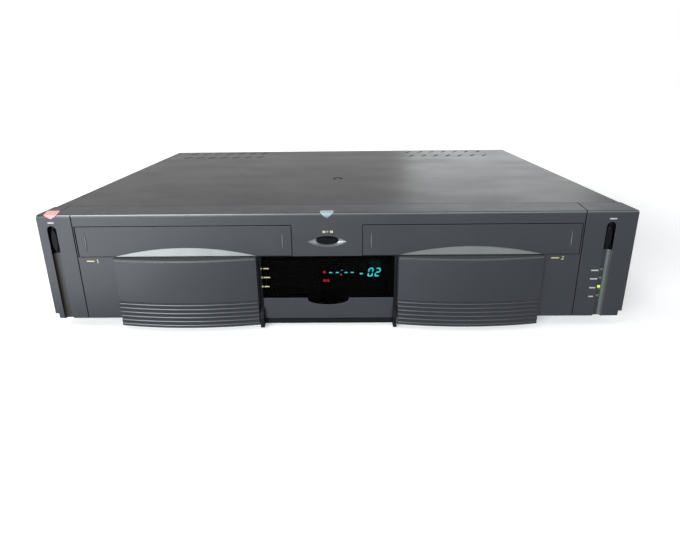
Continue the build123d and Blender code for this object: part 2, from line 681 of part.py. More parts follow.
def left_end_cap():
    """Left end of the front, with the power button's channel and the corner lens."""
    cap = end_cap((LEFT_X, BEZEL_LEFT), LEFT_X, left_channel_x())
    cap -= seam((BEZEL_LEFT - SEAM_WIDTH / 2, BEZEL_LEFT + OVERCUT))
    x = LEFT_X + TOP_SEAM_IN
    cap -= top_seam((x, x), (FRONT_Y + POWER_LENS_BACK, BEZEL_BACK + OVERCUT))
    return cap - power_lens(RUNNING_GAP)


def right_end_cap():
    """Right end of the front, with the view button's channel and the input lamps."""
    cap = end_cap((BEZEL_RIGHT, RIGHT_X), RIGHT_X, right_channel_x())
    cap -= seam((BEZEL_RIGHT - OVERCUT, BEZEL_RIGHT + SEAM_WIDTH / 2))
    x = (BEZEL_RIGHT + SEAM_WIDTH / 2, BEZEL_RIGHT + TOP_SEAM_SKEW)
    cap -= top_seam(x, (FRONT_Y - OVERCUT, BEZEL_BACK + OVERCUT))
    for drop in LAMP_DROPS:
        cap -= lamp(drop, RUNNING_GAP)
    return cap


def lamp(drop, gap):
    """One lamp in the right channel's floor; the gap grows it into its hole."""
    x = right_channel_x() - LAMP_SHIFT
    face = Pos(x, TOP_Z - drop) * Rectangle(LAMP_WIDTH + 2 * gap, LAMP_HEIGHT + 2 * gap)
    floor = FRONT_Y + CHANNEL_DEPTH
    return from_front(face, (floor - LAMP_HEIGHT / 2, floor + SHELL_WALL))


def input_lamps():
    """Column of lamps that show the input in use."""
    return Compound(children=[lamp(drop, 0) for drop in LAMP_DROPS])


def copy_button():
    """Oval button in the eye-shaped recess."""
    back = FRONT_Y + BEZEL_WALL
    return oval_button(AXIS_X, TOP_Z - COPY_DROP, COPY_WIDTH, COPY_HEIGHT, (FRONT_Y, back))


def channel_button(x):
    """Long oval button in the head of an end cap's channel."""
    back = FRONT_Y + CHANNEL_DEPTH + SHELL_WALL
    return oval_button(x, TOP_Z - OVAL_DROP, OVAL_WIDTH, OVAL_HEIGHT, (FRONT_Y + OVAL_PROUD, back))


def vents():
    """Slanted slots through the top cover, in two rows of two groups."""
    slot = Rectangle(VENT_WIDTH, VENT_LENGTH).rotate(Axis.Z, -VENT_SLANT)
    slots = Sketch()
    for back in VENT_ROWS:
        for middle in (LEFT_X + VENT_LEFT_IN, RIGHT_X - VENT_RIGHT_IN):
            for index in range(VENT_COUNT):
                x = middle + (index - (VENT_COUNT - 1) / 2) * VENT_PITCH
                slots += Pos(x, FRONT_Y + back) * slot
    return from_above(slots, (COVER_SOFFIT - OVERCUT, TOP_Z + OVERCUT))


def top_cover():
    """Folded steel cover: top and two sides, with vents and a dimple for the top screw."""
    width = CASE_WIDTH
    low = FOOT_HEIGHT + COVER_STEP_HEIGHT
    middle = (low + TOP_Z) / 2
    outline = Pos(0, middle) * Rectangle(width, TOP_Z - low)
    outline = fillet(outline.vertices().group_by(Axis.Y)[-1], EDGE_ROUND)
    inside = Pos(0, middle - SHEET) * Rectangle(width - 2 * SHEET, TOP_Z - low)
    inside = fillet(inside.vertices().group_by(Axis.Y)[-1], EDGE_ROUND - SHEET)
    cover = from_front(outline - inside, (BEZEL_BACK + PANEL_GAP, REAR_Y))
    cover -= vents()
    y = FRONT_Y + DIMPLE_BACK
    reach = DIMPLE_RADIUS + SHEET
    cover += block((-reach, reach), (y - reach, y + reach), (TOP_Z - DIMPLE_DEPTH - SHEET, TOP_Z))
    cover -= Pos(0, y, TOP_Z - DIMPLE_DEPTH / 2) * Cone(DIMPLE_RADIUS / 2, DIMPLE_RADIUS, DIMPLE_DEPTH)
    return cover - upright(0, y, (TOP_Z - SCREW_LENGTH, TOP_Z), SCREW_SHANK + RUNNING_GAP)


def base_pan():
    """Folded steel tray under the works."""
    half = CASE_WIDTH / 2 - COVER_STEP_INSET
    outer = block((-half, half), (BEZEL_BACK, REAR_PANEL_Y), (FOOT_HEIGHT, FOOT_HEIGHT + PAN_LIP))
    inner_y = (BEZEL_BACK + SHEET, REAR_PANEL_Y + OVERCUT)
    inner = block((SHEET - half, half - SHEET), inner_y, (PAN_TOP, TOP_Z))
    return outer - inner


def foot_places():
    """Places of the feet in plan."""
    x = CASE_WIDTH / 2 - FOOT_INSET_X
    return [(sx * x, y) for sx in (-1, 1) for y in (FRONT_Y + FOOT_INSET_Y, REAR_Y - FOOT_INSET_Y)]


def feet():
    """Round rubber feet."""
    return Compound(children=[disc(x, y, (0, FOOT_HEIGHT), FOOT_RADIUS) for x, y in foot_places()])


def jack_places():
    """Places of the phono jacks on the rear panel."""
    first = JACK_X - (JACK_COLUMN_COUNT - 1) / 2 * JACK_PITCH
    columns = [first + index * JACK_PITCH for index in range(JACK_COLUMN_COUNT)]
    return [(x, JACK_Z + row * JACK_PITCH) for x in columns for row in (0, 1)]


def rf_places():
    """Places of the aerial sockets on the rear panel."""
    return [(RF_X, RF_Z + step * RF_PITCH / 2) for step in (-1, 1)]


def rear_panel():
    """Steel rear panel with holes for its sockets."""
    half = CASE_WIDTH / 2 - SHEET
    outline = Pos(0, (PAN_TOP + COVER_SOFFIT) / 2) * Rectangle(2 * half, COVER_SOFFIT - PAN_TOP)
    outline = fillet(outline.vertices().group_by(Axis.Y)[-1], EDGE_ROUND)
    panel = from_front(outline, (REAR_PANEL_Y, REAR_PANEL_Y + SHEET))
    y = (REAR_PANEL_Y - OVERCUT, REAR_PANEL_Y + SHEET + OVERCUT)
    panel -= from_front(jack_plate(), y)
    panel -= from_front(rf_plate(), y)
    return panel - from_front(Pos(GLAND_X, GLAND_Z) * Rectangle(GLAND_SIZE, GLAND_SIZE), y)


def jack_plate():
    """Outline of the phono jacks' moulded face, which fills its window in the rear panel."""
    middle = JACK_Z + JACK_PITCH / 2
    return Pos(JACK_X, middle) * Rectangle(JACK_COLUMN_COUNT * JACK_PITCH, 2 * JACK_PITCH)


def rf_plate():
    """Outline of the aerial sockets' can, which fills its window in the rear panel."""
    return Pos(RF_X, RF_Z) * Rectangle(RF_PITCH, 2 * RF_PITCH)


def rear_jacks():
    """Block of phono jacks: a moulded body with two rows of barrels."""
    jacks = from_front(jack_plate(), (REAR_PANEL_Y - JACK_BASE, REAR_PANEL_Y + SHEET))
    for x, z in jack_places():
        barrel = Pos(x, z) * RegularPolygon(JACK_BARREL, JACK_FLAT_COUNT)
        jacks += from_front(barrel, (REAR_PANEL_Y, REAR_PANEL_Y + SHEET + JACK_LENGTH))
    return jacks


def rf_connectors():
    """Pair of threaded aerial sockets on a small can."""
    can = from_front(rf_plate(), (REAR_PANEL_Y - JACK_BASE, REAR_PANEL_Y + SHEET))
    for x, z in rf_places():
        can += lengthways(x, (REAR_PANEL_Y, REAR_PANEL_Y + SHEET + RF_LENGTH), z, RF_RADIUS)
    return can


def cord_gland():
    """Moulded cord outlet in the rear panel."""
    gland = from_front(Pos(GLAND_X, GLAND_Z) * Rectangle(GLAND_SIZE, GLAND_SIZE),
                       (REAR_PANEL_Y - SHEET, REAR_PANEL_Y + SHEET + GLAND_PROUD))
    through = (REAR_PANEL_Y - GLAND_SIZE, REAR_PANEL_Y + GLAND_SIZE)
    return gland - lengthways(GLAND_X, through, GLAND_Z, GLAND_HOLE)


def case_screws():
    """Screws of the cover and the rear panel."""
    y = FRONT_Y + DIMPLE_BACK
    z = TOP_Z - DIMPLE_DEPTH
    head = upright(0, y, (z, z + SCREW_HEAD_HEIGHT), SCREW_HEAD)
    screw = head + upright(0, y, (z - SCREW_LENGTH, z), SCREW_SHANK)
    return Compound(children=[screw])


def main_board():
    """Circuit board over the rear of the case."""
    x = (LEFT_X + SUPPLY_IN + SUPPLY_WIDTH + BOARD_SPACE, RIGHT_X - MAIN_BOARD_IN)
    back = REAR_PANEL_Y - JACK_BASE - MAIN_BOARD_BACK_GAP
    return block(x, (BOARD_FRONT, back), (BOARD_Z, BOARD_TOP))


def power_supply():
    """Supply board with its transformer."""
    left = LEFT_X + SUPPLY_IN
    board_y = (BOARD_FRONT, REAR_PANEL_Y - SUPPLY_BACK_GAP)
    board = block((left, left + SUPPLY_WIDTH), board_y, (BOARD_Z, BOARD_TOP))
    x = left + TRANSFORMER_IN
    y = BOARD_FRONT + TRANSFORMER_BACK
    size = TRANSFORMER_SIZE
    return board + block((x, x + size), (y, y + size), (BOARD_TOP, BOARD_TOP + TRANSFORMER_HEIGHT))


def tuner_module():
    """Screened tuner can."""
    x = RIGHT_X - MAIN_BOARD_IN - TUNER_IN
    y = REAR_PANEL_Y - TUNER_BACK_GAP
    return block((x - TUNER_WIDTH, x), (y - TUNER_DEPTH, y), (BOARD_TOP, BOARD_TOP + TUNER_HEIGHT))


def deck_frame(side):
    """Deck's steel chassis: bed plate on posts, two slotted side rails, and the fixed shafts."""
    front, back = TRAY_FRONT, DECK_BACK
    outer = RAIL_HALF + SHEET
    frame = block((-outer, outer), (front, back), (PLATE_Z, PLATE_TOP))
    rail_top = TRAY_CEILING + TRAY_WALL
    rail_back = LOADED_BACK + SLED_REACH
    slot_z = guide_z()
    for s in (-1, 1):
        x = sorted((s * RAIL_HALF, s * outer))
        rail = block(x, (front, rail_back), (PLATE_Z, rail_top))
        reach = RUNNER_LENGTH / 2 + LOOSE_GAP
        slot = (sled_runners()[0] - reach, sled_runners()[1] + SLED_TRAVEL + reach)
        half_slot = RUNNER / 2 + RUNNING_GAP
        rail -= block(x, slot, (slot_z - half_slot, slot_z + half_slot))
        frame += rail
        for y in (front + POST_WIDTH / 2, back - POST_WIDTH / 2):
            post = sorted((s * outer, s * (outer - POST_WIDTH)))
            frame += block(post, (y - POST_WIDTH / 2, y + POST_WIDTH / 2), (PAN_TOP, PLATE_Z))
        hub = s * CASSETTE_HUB_SPACING / 2
        frame += upright(hub, HUB_Y, (PLATE_TOP, reel_top()), REEL_SHAFT)
    frame += upright(ARM_PIVOT_X, arm_pivot_y(), (PLATE_TOP, PLATE_TOP + ARM_LIFT + ARM_THICK), ARM_PIVOT_PIN)
    bearing = flat_bore((PLATE_Z - OVERCUT, PLATE_TOP + OVERCUT), CAPSTAN_RADIUS + RUNNING_GAP)
    frame -= Pos(CAPSTAN_X, capstan_y(), 0) * bearing
    return Pos(deck_x(side), 0, 0) * frame


def guide_z():
    """Height of the sled's runners."""
    return TRAY_CEILING - GUIDE_DROP


def sled_runners():
    """Depths of the sled's two runners on each side."""
    return (TRAY_FRONT + SLED_RUNNERS_IN[0], TRAY_BACK - SLED_RUNNERS_IN[1])


def tray_runners():
    """Depths of the tray's two runners on each side."""
    return (TRAY_FRONT + TRAY_RUNNERS_IN[0], TRAY_BACK - TRAY_RUNNERS_IN[1])


def tray_runner_z():
    """Height of the middle of the tray's runners."""
    return TRAY_FLOOR + TRAY_RUNNER_UP


def carrier_sled(side):
    """Bent steel sled: two cheeks joined over the top, that runs back along the rails."""
    front, back = TRAY_FRONT + SLED_SETBACK, TRAY_BACK + SLED_REACH
    low = tray_runner_z() - TRAY_DROP - RUNNER_LENGTH
    high = TRAY_CEILING + TRAY_WALL + SLED_BRIDGE_GAP
    outer = SLED_HALF + SHEET
    sled = block((-outer, outer), (front, back), (low, high))
    sled -= block((-SLED_HALF, SLED_HALF), (front - OVERCUT, back + OVERCUT), (low - OVERCUT, high - SHEET))
    rim = SLED_HALF - SLED_RIM
    sled -= block((-rim, rim), (front + SLED_BRIDGE, back - SLED_BRIDGE), (high - 2 * SHEET, high + OVERCUT))
    reach = RUNNER_LENGTH / 2 + LOOSE_GAP
    slot_z = (tray_runner_z() - TRAY_DROP - reach, tray_runner_z() + reach)
    for y in tray_runners():
        slot_y = (y - RUNNER / 2 - RUNNING_GAP, y + RUNNER / 2 + RUNNING_GAP)
        sled -= block((-outer - OVERCUT, outer + OVERCUT), slot_y, slot_z)
    for s in (-1, 1):
        for y in sled_runners():
            x = sorted((s * SLED_HALF, s * (RAIL_HALF + SHEET + RUNNER_PROUD)))
            z = (guide_z() - RUNNER / 2, guide_z() + RUNNER / 2)
            sled += block(x, (y - RUNNER_LENGTH / 2, y + RUNNER_LENGTH / 2), z)
    return Pos(deck_x(side), 0, 0) * sled


def cassette_tray(side):
    """Basket that holds the cassette by its two sides, open underneath for the reels."""
    outer = TRAY_HALF + TRAY_WALL
    low, high = TRAY_FLOOR - TRAY_WALL, TRAY_CEILING + TRAY_WALL
    tray = block((-outer, outer), (TRAY_FRONT, TRAY_BACK), (low, high))
    bay_y = (TRAY_FRONT - OVERCUT, TRAY_BACK - TRAY_WALL)
    tray -= block((-TRAY_HALF, TRAY_HALF), bay_y, (TRAY_FLOOR, TRAY_CEILING))
    inner = TRAY_HALF - TRAY_LEDGE
    tray -= block((-inner, inner), (TRAY_FRONT - OVERCUT, TRAY_BACK + OVERCUT), (low - OVERCUT, TRAY_CEILING))
    for s in (-1, 1):
        for y in tray_runners():
            x = sorted((s * TRAY_HALF, s * (SLED_HALF + SHEET + SIDE_GAP / 2)))
            z = (tray_runner_z() - RUNNER_LENGTH / 2, tray_runner_z() + RUNNER_LENGTH / 2)
            tray += block(x, (y - RUNNER / 2, y + RUNNER / 2), z)
    return Pos(deck_x(side), 0, 0) * tray


def reel_top():
    """Height of a reel spindle's top in the loaded cassette."""
    return TRAY_FLOOR - TRAY_DROP + REEL_TOP_GAP


def reel(side, end):
    """Reel table: a geared disc with a splined spindle, turning on a fixed shaft."""
    x = end * CASSETTE_HUB_SPACING / 2
    table = disc(0, 0, (REEL_Z, REEL_Z + REEL_THICK), REEL_RADIUS)
    table += from_above(RegularPolygon(REEL_SPINDLE, BORE_FLAT_COUNT), (REEL_Z, reel_top()))
    for turn in (0, 120, 240):
        spline = block((0, REEL_SPINDLE + SPLINE_PROUD), (-SPLINE_WIDTH / 2, SPLINE_WIDTH / 2),
                       (REEL_Z, reel_top() - SPLINE_SHORT))
        table += Rot(0, 0, turn) * spline
    table -= flat_bore((REEL_Z - OVERCUT, reel_top() + OVERCUT), REEL_SHAFT + RUNNING_GAP)
    return Pos(deck_x(side) + x, HUB_Y, 0) * table


def drum_tilt(side):
    """Place and lean of the drum's axis."""
    return Pos(deck_x(side), DRUM_Y, PLATE_TOP) * Rot(-DRUM_TILT, 0, 0)


def drum_base(side):
    """Fixed lower drum on its wedge seat, with the shaft that carries the turning drum."""
    top = DRUM_SEAT + DRUM_BASE_HEIGHT
    base = upright(0, 0, (DRUM_SEAT, top), DRUM_RADIUS)
    base += upright(0, 0, (top, top + DRUM_TURN_HEIGHT), DRUM_SHAFT)
    base = drum_tilt(side) * base
    x = deck_x(side)
    seat = block((x - DRUM_FOOT, x + DRUM_FOOT), (DRUM_Y - DRUM_FOOT, DRUM_Y + DRUM_FOOT),
                 (PLATE_TOP, PLATE_TOP + DRUM_SEAT + DRUM_SINK))
    return base + seat


def head_drum(side):
    """Upper drum that spins with the heads, with its motor on top."""
    low = DRUM_SEAT + DRUM_BASE_HEIGHT + LOOSE_GAP
    high = low + DRUM_TURN_HEIGHT
    drum = upright(0, 0, (low, high), DRUM_RADIUS)
    drum += disc(0, 0, (high, high + DRUM_MOTOR_HEIGHT), DRUM_MOTOR_RADIUS)
    drum -= flat_bore((low - OVERCUT, high), DRUM_SHAFT + RUNNING_GAP)
    return drum_tilt(side) * drum


def capstan_y():
    """Depth of the capstan."""
    return LOADED_BACK + CAPSTAN_BEHIND


def capstan(side):
    """Capstan shaft with its flywheel under the bed plate."""
    low = PLATE_Z - LOOSE_GAP - FLYWHEEL_THICK
    wheel = disc(0, 0, (low, PLATE_Z - LOOSE_GAP), FLYWHEEL_RADIUS)
    wheel += upright(0, 0, (low, PLATE_TOP + CAPSTAN_HEIGHT), CAPSTAN_RADIUS)
    return Pos(deck_x(side) + CAPSTAN_X, capstan_y(), 0) * wheel


def arm_pivot_y():
    """Depth of the pinch arm's pivot."""
    return LOADED_BACK + ARM_PIVOT_BEHIND


def arm_end():
    """Roller's place at rest, measured from the deck's middle: swung clear of the capstan."""
    dx, dy = CAPSTAN_X - ARM_PIVOT_X, capstan_y() - arm_pivot_y()
    reach = sqrt(dx ** 2 + dy ** 2)
    close = CAPSTAN_RADIUS + ROLLER_RADIUS + LOOSE_GAP
    nip = (reach ** 2 + ARM_LENGTH ** 2 - close ** 2) / (2 * reach * ARM_LENGTH)
    angle = atan2(dy, dx) + atan2(sqrt(1 - nip ** 2), nip) + radians(ARM_TRAVEL)
    return ARM_PIVOT_X + ARM_LENGTH * cos(angle), arm_pivot_y() + ARM_LENGTH * sin(angle)


def pinch_arm(side):
    """Swinging arm with the pinch roller's shaft at its end."""
    low = PLATE_TOP + ARM_LIFT
    high = low + ARM_THICK
    x, y = arm_end()
    link = chamfer(Rectangle(ARM_LENGTH + ARM_WIDTH, ARM_WIDTH).vertices(), ARM_WIDTH / 4)
    angle = degrees(atan2(y - arm_pivot_y(), x - ARM_PIVOT_X))
    place = Pos((x + ARM_PIVOT_X) / 2, (y + arm_pivot_y()) / 2) * Rot(0, 0, angle)
    arm = from_above(place * link, (low, high))
    arm += upright(x, y, (low, high + ROLLER_HEIGHT + OVERCUT), REEL_SHAFT)
    bore = flat_bore((low - OVERCUT, high + OVERCUT), ARM_PIVOT_PIN + RUNNING_GAP)
    arm -= Pos(ARM_PIVOT_X, arm_pivot_y(), 0) * bore
    return Pos(deck_x(side), 0, 0) * arm


def pinch_roller(side):
    """Rubber roller on the pinch arm."""
    x, y = arm_end()
    low = PLATE_TOP + ARM_LIFT + ARM_THICK + LOOSE_GAP
    roller = upright(x, y, (low, low + ROLLER_HEIGHT - LOOSE_GAP), ROLLER_RADIUS)
    bore = flat_bore((low - OVERCUT, low + ROLLER_HEIGHT + OVERCUT), REEL_SHAFT + RUNNING_GAP)
    roller -= Pos(x, y, 0) * bore
    return Pos(deck_x(side), 0, 0) * roller


SHARED_PARTS = {
    "front_bezel": front_bezel,
    "left_end_cap": left_end_cap,
    "right_end_cap": right_end_cap,
    "display_window": display_window,
    "lower_panel": lower_panel,
    "kick_strip": kick_strip,
    "display_module": display_module,
    "input_lamps": input_lamps,
    "copy_button": copy_button,
    "top_cover": top_cover,
    "base_pan": base_pan,
    "rear_panel": rear_panel,
    "rear_jacks": rear_jacks,
    "rf_connectors": rf_connectors,
    "cord_gland": cord_gland,
    "case_screws": case_screws,
    "feet": feet,
    "main_board": main_board,
    "power_supply": power_supply,
    "tuner_module": tuner_module,
}

DECK_PARTS = {
    "cassette_flap": cassette_flap,
    "control_door": control_door,
    "control_panel": control_panel,
    "deck_frame": deck_frame,
    "carrier_sled": carrier_sled,
    "cassette_tray": cassette_tray,
    "drum_base": drum_base,
    "head_drum": head_drum,
    "capstan": capstan,
    "pinch_arm": pinch_arm,
    "pinch_roller": pinch_roller,
}

KEY_NAMES = ("eject_key", "rewind_key", "play_key", "forward_key", "record_key")

os.makedirs("parts", exist_ok=True)
for name, make in SHARED_PARTS.items():
    export_step(make(), f"parts/{name}.step")
export_step(centre_lens(0), "parts/centre_lens.step")
export_step(power_lens(0), "parts/power_lens.step")
export_step(channel_button(left_channel_x()), "parts/power_button.step")
export_step(channel_button(right_channel_x()), "parts/view_button.step")
for number, side in ((1, -1), (2, 1)):
    for name, make in DECK_PARTS.items():
        export_step(make(side), f"parts/{name}_{number}.step")
    export_step(reel(side, -1), f"parts/supply_reel_{number}.step")
    export_step(reel(side, 1), f"parts/takeup_reel_{number}.step")
    for index in range(KEY_COUNT):
        export_step(key(side, index), f"parts/{KEY_NAMES[index]}_{number}.step")
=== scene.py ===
import bmesh
import bpy
import math
from mathutils import Matrix, Vector


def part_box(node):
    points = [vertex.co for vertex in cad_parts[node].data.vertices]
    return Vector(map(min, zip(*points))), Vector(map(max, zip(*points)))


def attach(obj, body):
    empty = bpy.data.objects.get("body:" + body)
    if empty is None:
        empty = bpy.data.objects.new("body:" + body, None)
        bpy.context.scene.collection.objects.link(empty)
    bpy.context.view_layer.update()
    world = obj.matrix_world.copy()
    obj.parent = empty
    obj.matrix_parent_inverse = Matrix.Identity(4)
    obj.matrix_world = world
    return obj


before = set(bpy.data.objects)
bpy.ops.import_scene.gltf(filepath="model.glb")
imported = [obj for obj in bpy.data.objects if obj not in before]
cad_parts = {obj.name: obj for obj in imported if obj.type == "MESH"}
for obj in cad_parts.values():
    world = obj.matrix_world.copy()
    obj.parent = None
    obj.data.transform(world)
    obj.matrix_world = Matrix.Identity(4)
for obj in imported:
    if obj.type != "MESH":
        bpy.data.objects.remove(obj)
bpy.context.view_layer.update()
scene = bpy.context.scene
scene.view_settings.view_transform = "Standard"

# The camera stands a little to the right of the recorder's middle, above it and close to its front, and
# looks down on it. It rolls slightly, and its view is shifted so that the recorder sits high in the picture.
fascia_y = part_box("lower_panel")[0][1]
top_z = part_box("front_bezel")[1][2]
eye_right, eye_before, eye_above = 0.0111, 0.42661, 0.11568
turn, dip, roll = -0.0155, 0.312, 0.012
lens_mm, view_shift = 25.72, -0.05
eye = Vector((eye_right, fascia_y - eye_before, top_z + eye_above))
ahead = Vector((math.sin(turn) * math.cos(dip), math.cos(turn) * math.cos(dip), -math.sin(dip)))
level = Vector((math.cos(turn), -math.sin(turn), 0))
down = ahead.cross(level)
right = math.cos(roll) * level + math.sin(roll) * down
down = math.cos(roll) * down - math.sin(roll) * level
camera = bpy.data.objects.new("camera", bpy.data.cameras.new("camera"))
scene.collection.objects.link(camera)
camera.matrix_world = Matrix.Translation(eye) @ Matrix((right, -down, -ahead)).transposed().to_4x4()
camera.data.lens = lens_mm
camera.data.shift_y = view_shift
scene.camera = camera


# The recorder stands on a plain white studio floor, which runs out to a white background. The floor glows
# a little to the camera and in reflections, so that it shows white and keeps the recorder's shadow.
def fill(tree, node, inputs):
    """Node with its inputs set, each to a plain value or to what another node gives."""
    for place, value in inputs.items():
        if isinstance(value, bpy.types.NodeSocket):
            tree.links.new(value, node.inputs[place])
        else:
            node.inputs[place].default_value = value
    return node


def add_node(tree, kind, inputs=None, **settings):
    """New node with its settings and its inputs."""
    node = tree.nodes.new("ShaderNode" + kind)
    for name, value in settings.items():
        setattr(node, name, value)
    return fill(tree, node, inputs or {})


def calculate(tree, operation, *values):
    """Outcome of one sum on numbers and on what other nodes give."""
    return add_node(tree, "Math", dict(enumerate(values)), operation=operation).outputs[0]


def spread(tree, source, low, high, start=0.0, end=1.0, clamp=True):
    """Value from low to high, for a source that runs from start to end."""
    scaled = add_node(tree, "MapRange", {"Value": source, "From Min": start, "From Max": end,
                                         "To Min": low, "To Max": high}, clamp=clamp)
    return scaled.outputs["Result"]


def piece_place(tree):
    """Place of a point on its own piece, in metres."""
    return add_node(tree, "TexCoord").outputs["Object"]


def seen_or_mirrored(tree, mirrored=1.0):
    """1 for a ray of the camera or of glass, a share for a reflection, and 0 for any other light."""
    path = add_node(tree, "LightPath").outputs
    straight = calculate(tree, "MAXIMUM", path["Is Camera Ray"], path["Is Transmission Ray"])
    return calculate(tree, "MAXIMUM", straight, calculate(tree, "MULTIPLY", path["Is Glossy Ray"], mirrored))


def new_material(name):
    """Material with its node tree and its shader."""
    material = bpy.data.materials.new(name)
    material.use_nodes = True
    return material, material.node_tree, material.node_tree.nodes["Principled BSDF"]


floor_reach, floor_mirrored = 6.0, 0.15
near_glow, far_glow, near_edge, far_edge = 0.36, 0.9, 0.45, 1.3
air_light, air_seen = 0.28, 1.0
floor_corners = [(-floor_reach, -floor_reach, 0), (floor_reach, -floor_reach, 0),
                 (floor_reach, floor_reach, 0), (-floor_reach, floor_reach, 0)]
floor_mesh = bpy.data.meshes.new("studio_floor")
floor_mesh.from_pydata(floor_corners, [], [(0, 1, 2, 3)])
floor = bpy.data.objects.new("studio_floor", floor_mesh)
scene.collection.objects.link(floor)
studio_white, tree, shader = new_material("studio_white")
reach = add_node(tree, "VectorMath", {0: piece_place(tree)}, operation="LENGTH").outputs["Value"]
glow = calculate(tree, "MULTIPLY", spread(tree, reach, near_glow, far_glow, near_edge, far_edge),
                 seen_or_mirrored(tree, floor_mirrored))
fill(tree, shader, {"Base Color": (0.82, 0.82, 0.82, 1), "Roughness": 0.95, "Emission Color": (1, 1, 1, 1),
                    "Emission Strength": glow})
floor_mesh.materials.append(studio_white)

world = bpy.data.worlds.new("studio_air")
scene.world = world
world.use_nodes = True
tree = world.node_tree
fill(tree, tree.nodes["Background"], {"Color": (1, 1, 1, 1),
                                      "Strength": spread(tree, seen_or_mirrored(tree), air_light, air_seen)})


# A tall window light stands at the left in front and a weaker one at the right. A faint one hangs over the
# left half, a card glows on the floor before the left end, and a lamp behind lights the cover's right half.
def soft_light(name, place, target, size, watts, colour):
    """Rectangular soft light that faces a point and doesn't show to the camera."""
    lamp = bpy.data.lights.new(name, "AREA")
    lamp.shape = "RECTANGLE"
    lamp.size, lamp.size_y = size
    lamp.energy = watts
    lamp.color = colour
    light = bpy.data.objects.new(name, lamp)
    scene.collection.objects.link(light)
    light.location = place
    light.rotation_euler = (Vector(target) - Vector(place)).to_track_quat("-Z", "Y").to_euler()
    light.visible_camera = False


soft_light("left_window", place=(-1.15, -2.1, 0.58), target=(-0.1, 0, 0.06), size=(1.4, 0.85), watts=106,
           colour=(0.92, 0.97, 1.0))
soft_light("right_window", place=(0.62, -2.2, 0.42), target=(0.1, 0, 0.06), size=(1.1, 0.5), watts=13,
           colour=(0.94, 0.98, 0.97))
soft_light("high_left", place=(-0.6, -0.45, 1.45), target=(-0.1, -0.1, 0.1), size=(0.9, 0.5), watts=6,
           colour=(0.95, 0.97, 1.0))
soft_light("back_right", place=(1.0, 2.6, 0.55), target=(0.1, 0, 0.1), size=(1.2, 0.8), watts=5.2,
           colour=(0.97, 0.99, 1.0))
soft_light("left_card", place=(-0.47, -0.46, 0.001), target=(-0.47, -0.46, 1), size=(0.44, 0.40), watts=1.7,
           colour=(0.97, 0.98, 1.0))


# The front and its end caps are one charcoal plastic, moulded with a fine satin grain. Their edges are painted
# lighter, partly as rubbing and partly as a painted highlight, and their creases carry painted shade. The slot
# flaps, the doors and the trim panel are moulded in the same plastic.
def mottle(tree, size, detail, stretch=(1, 1, 1)):
    """Uneven tone fixed to the piece, with lumps of a size in metres."""
    place = add_node(tree, "Mapping", {"Vector": piece_place(tree), "Scale": stretch}).outputs["Vector"]
    return add_node(tree, "TexNoise", {"Vector": place, "Scale": 1 / size, "Detail": detail}).outputs["Fac"]


def ramp(tree, source, *stops):
    """Colours at places from 0 to 1 along a source."""
    scale = add_node(tree, "ValToRGB", {"Fac": source})
    while len(scale.color_ramp.elements) < len(stops):
        scale.color_ramp.elements.new(0.5)
    for element, (place, colour) in zip(scale.color_ramp.elements, stops):
        element.position = place
        element.color = (*colour, 1)
    return scale.outputs["Color"]


def shade(colour, factor):
    """Colour made lighter or darker."""
    return tuple(min(1.0, part * factor) for part in colour)


def edge_mask(tree, radius):
    """Rounded normal near a piece's edges, and how far it turns from the true one."""
    rounded = add_node(tree, "Bevel", {"Radius": radius}, samples=6).outputs["Normal"]
    true = add_node(tree, "NewGeometry").outputs["Normal"]
    agree = add_node(tree, "VectorMath", {0: rounded, 1: true}, operation="DOT_PRODUCT").outputs["Value"]
    return rounded, spread(tree, agree, 0.0, 1.0, start=1.0, end=0.8)


def tinted(tree, share, colour, tint):
    """Colour of a node with a share of a plain one in it."""
    return add_node(tree, "Mix", {"Factor": share, "A": colour, "B": (*tint, 1)},
                    data_type="RGBA").outputs["Result"]


def raised(tree, height, strength, distance, normal=None):
    """Normal of a surface roughened by a height, over another normal where there is one."""
    bump = add_node(tree, "Bump", {"Height": height, "Strength": strength, "Distance": distance})
    return fill(tree, bump, {"Normal": normal} if normal else {}).outputs["Normal"]


def moulded_plastic(name, colour, roughness, relief=0.00003, edge=0.0004, rubbed=1.5, specular=0.5,
                    crease=0.002):
    """Injection-moulded plastic: satin grain, faint flow tones, edges lighter as wear and painted highlight,
    and painted shade in creases.
    """
    flow_size, wear_size, touch_size, grain_size = 0.055, 0.004, 0.02, 0.0005
    material, tree, shader = new_material(name)
    tone = ramp(tree, mottle(tree, flow_size, 5), (0.3, shade(colour, 0.93)), (0.7, shade(colour, 1.07)))
    normal, turned = edge_mask(tree, edge)
    # Edges are lightened by the factor rubbed: partly wear, partly a painted highlight on the rounded edges.
    wear_and_highlight = calculate(tree, "MULTIPLY", turned, mottle(tree, wear_size, 3))
    tone = tinted(tree, wear_and_highlight, tone, shade(colour, rubbed))
    # Painted shade: ambient occlusion darkens the colour in creases, gaps and grooves, and near the floor.
    open_sky = add_node(tree, "AmbientOcclusion", {"Distance": crease}, samples=8).outputs["AO"]
    tone = tinted(tree, spread(tree, open_sky, 0.0, 1.0, start=0.9, end=0.35), tone, shade(colour, 0.12))
    touched = spread(tree, mottle(tree, touch_size, 6), roughness - 0.05, roughness + 0.05)
    fill(tree, shader, {"Base Color": tone, "Roughness": touched, "Specular IOR Level": specular,
                        "Normal": raised(tree, mottle(tree, grain_size, 2), 0.35, relief, normal)})
    return material


def charcoal_plastic(name, crease):
    """The front's plastic, with painted shade in its creases over a width, and edges lightened strongly as wear
    and painted highlight.
    """
    return moulded_plastic(name, (0.0114, 0.0124, 0.0160), 0.44, specular=0.33, edge=0.0006, rubbed=4.0,
                           crease=crease)


def dress(material, *node_names):
    """Gives CAD nodes one material in each of their slots."""
    for node_name in node_names:
        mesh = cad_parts[node_name].data
        if not mesh.materials:
            mesh.materials.append(material)
        for index in range(len(mesh.materials)):
            mesh.materials[index] = material


charcoal = charcoal_plastic("charcoal_plastic", 0.003)
dress(charcoal, "front_bezel", "left_end_cap", "right_end_cap")


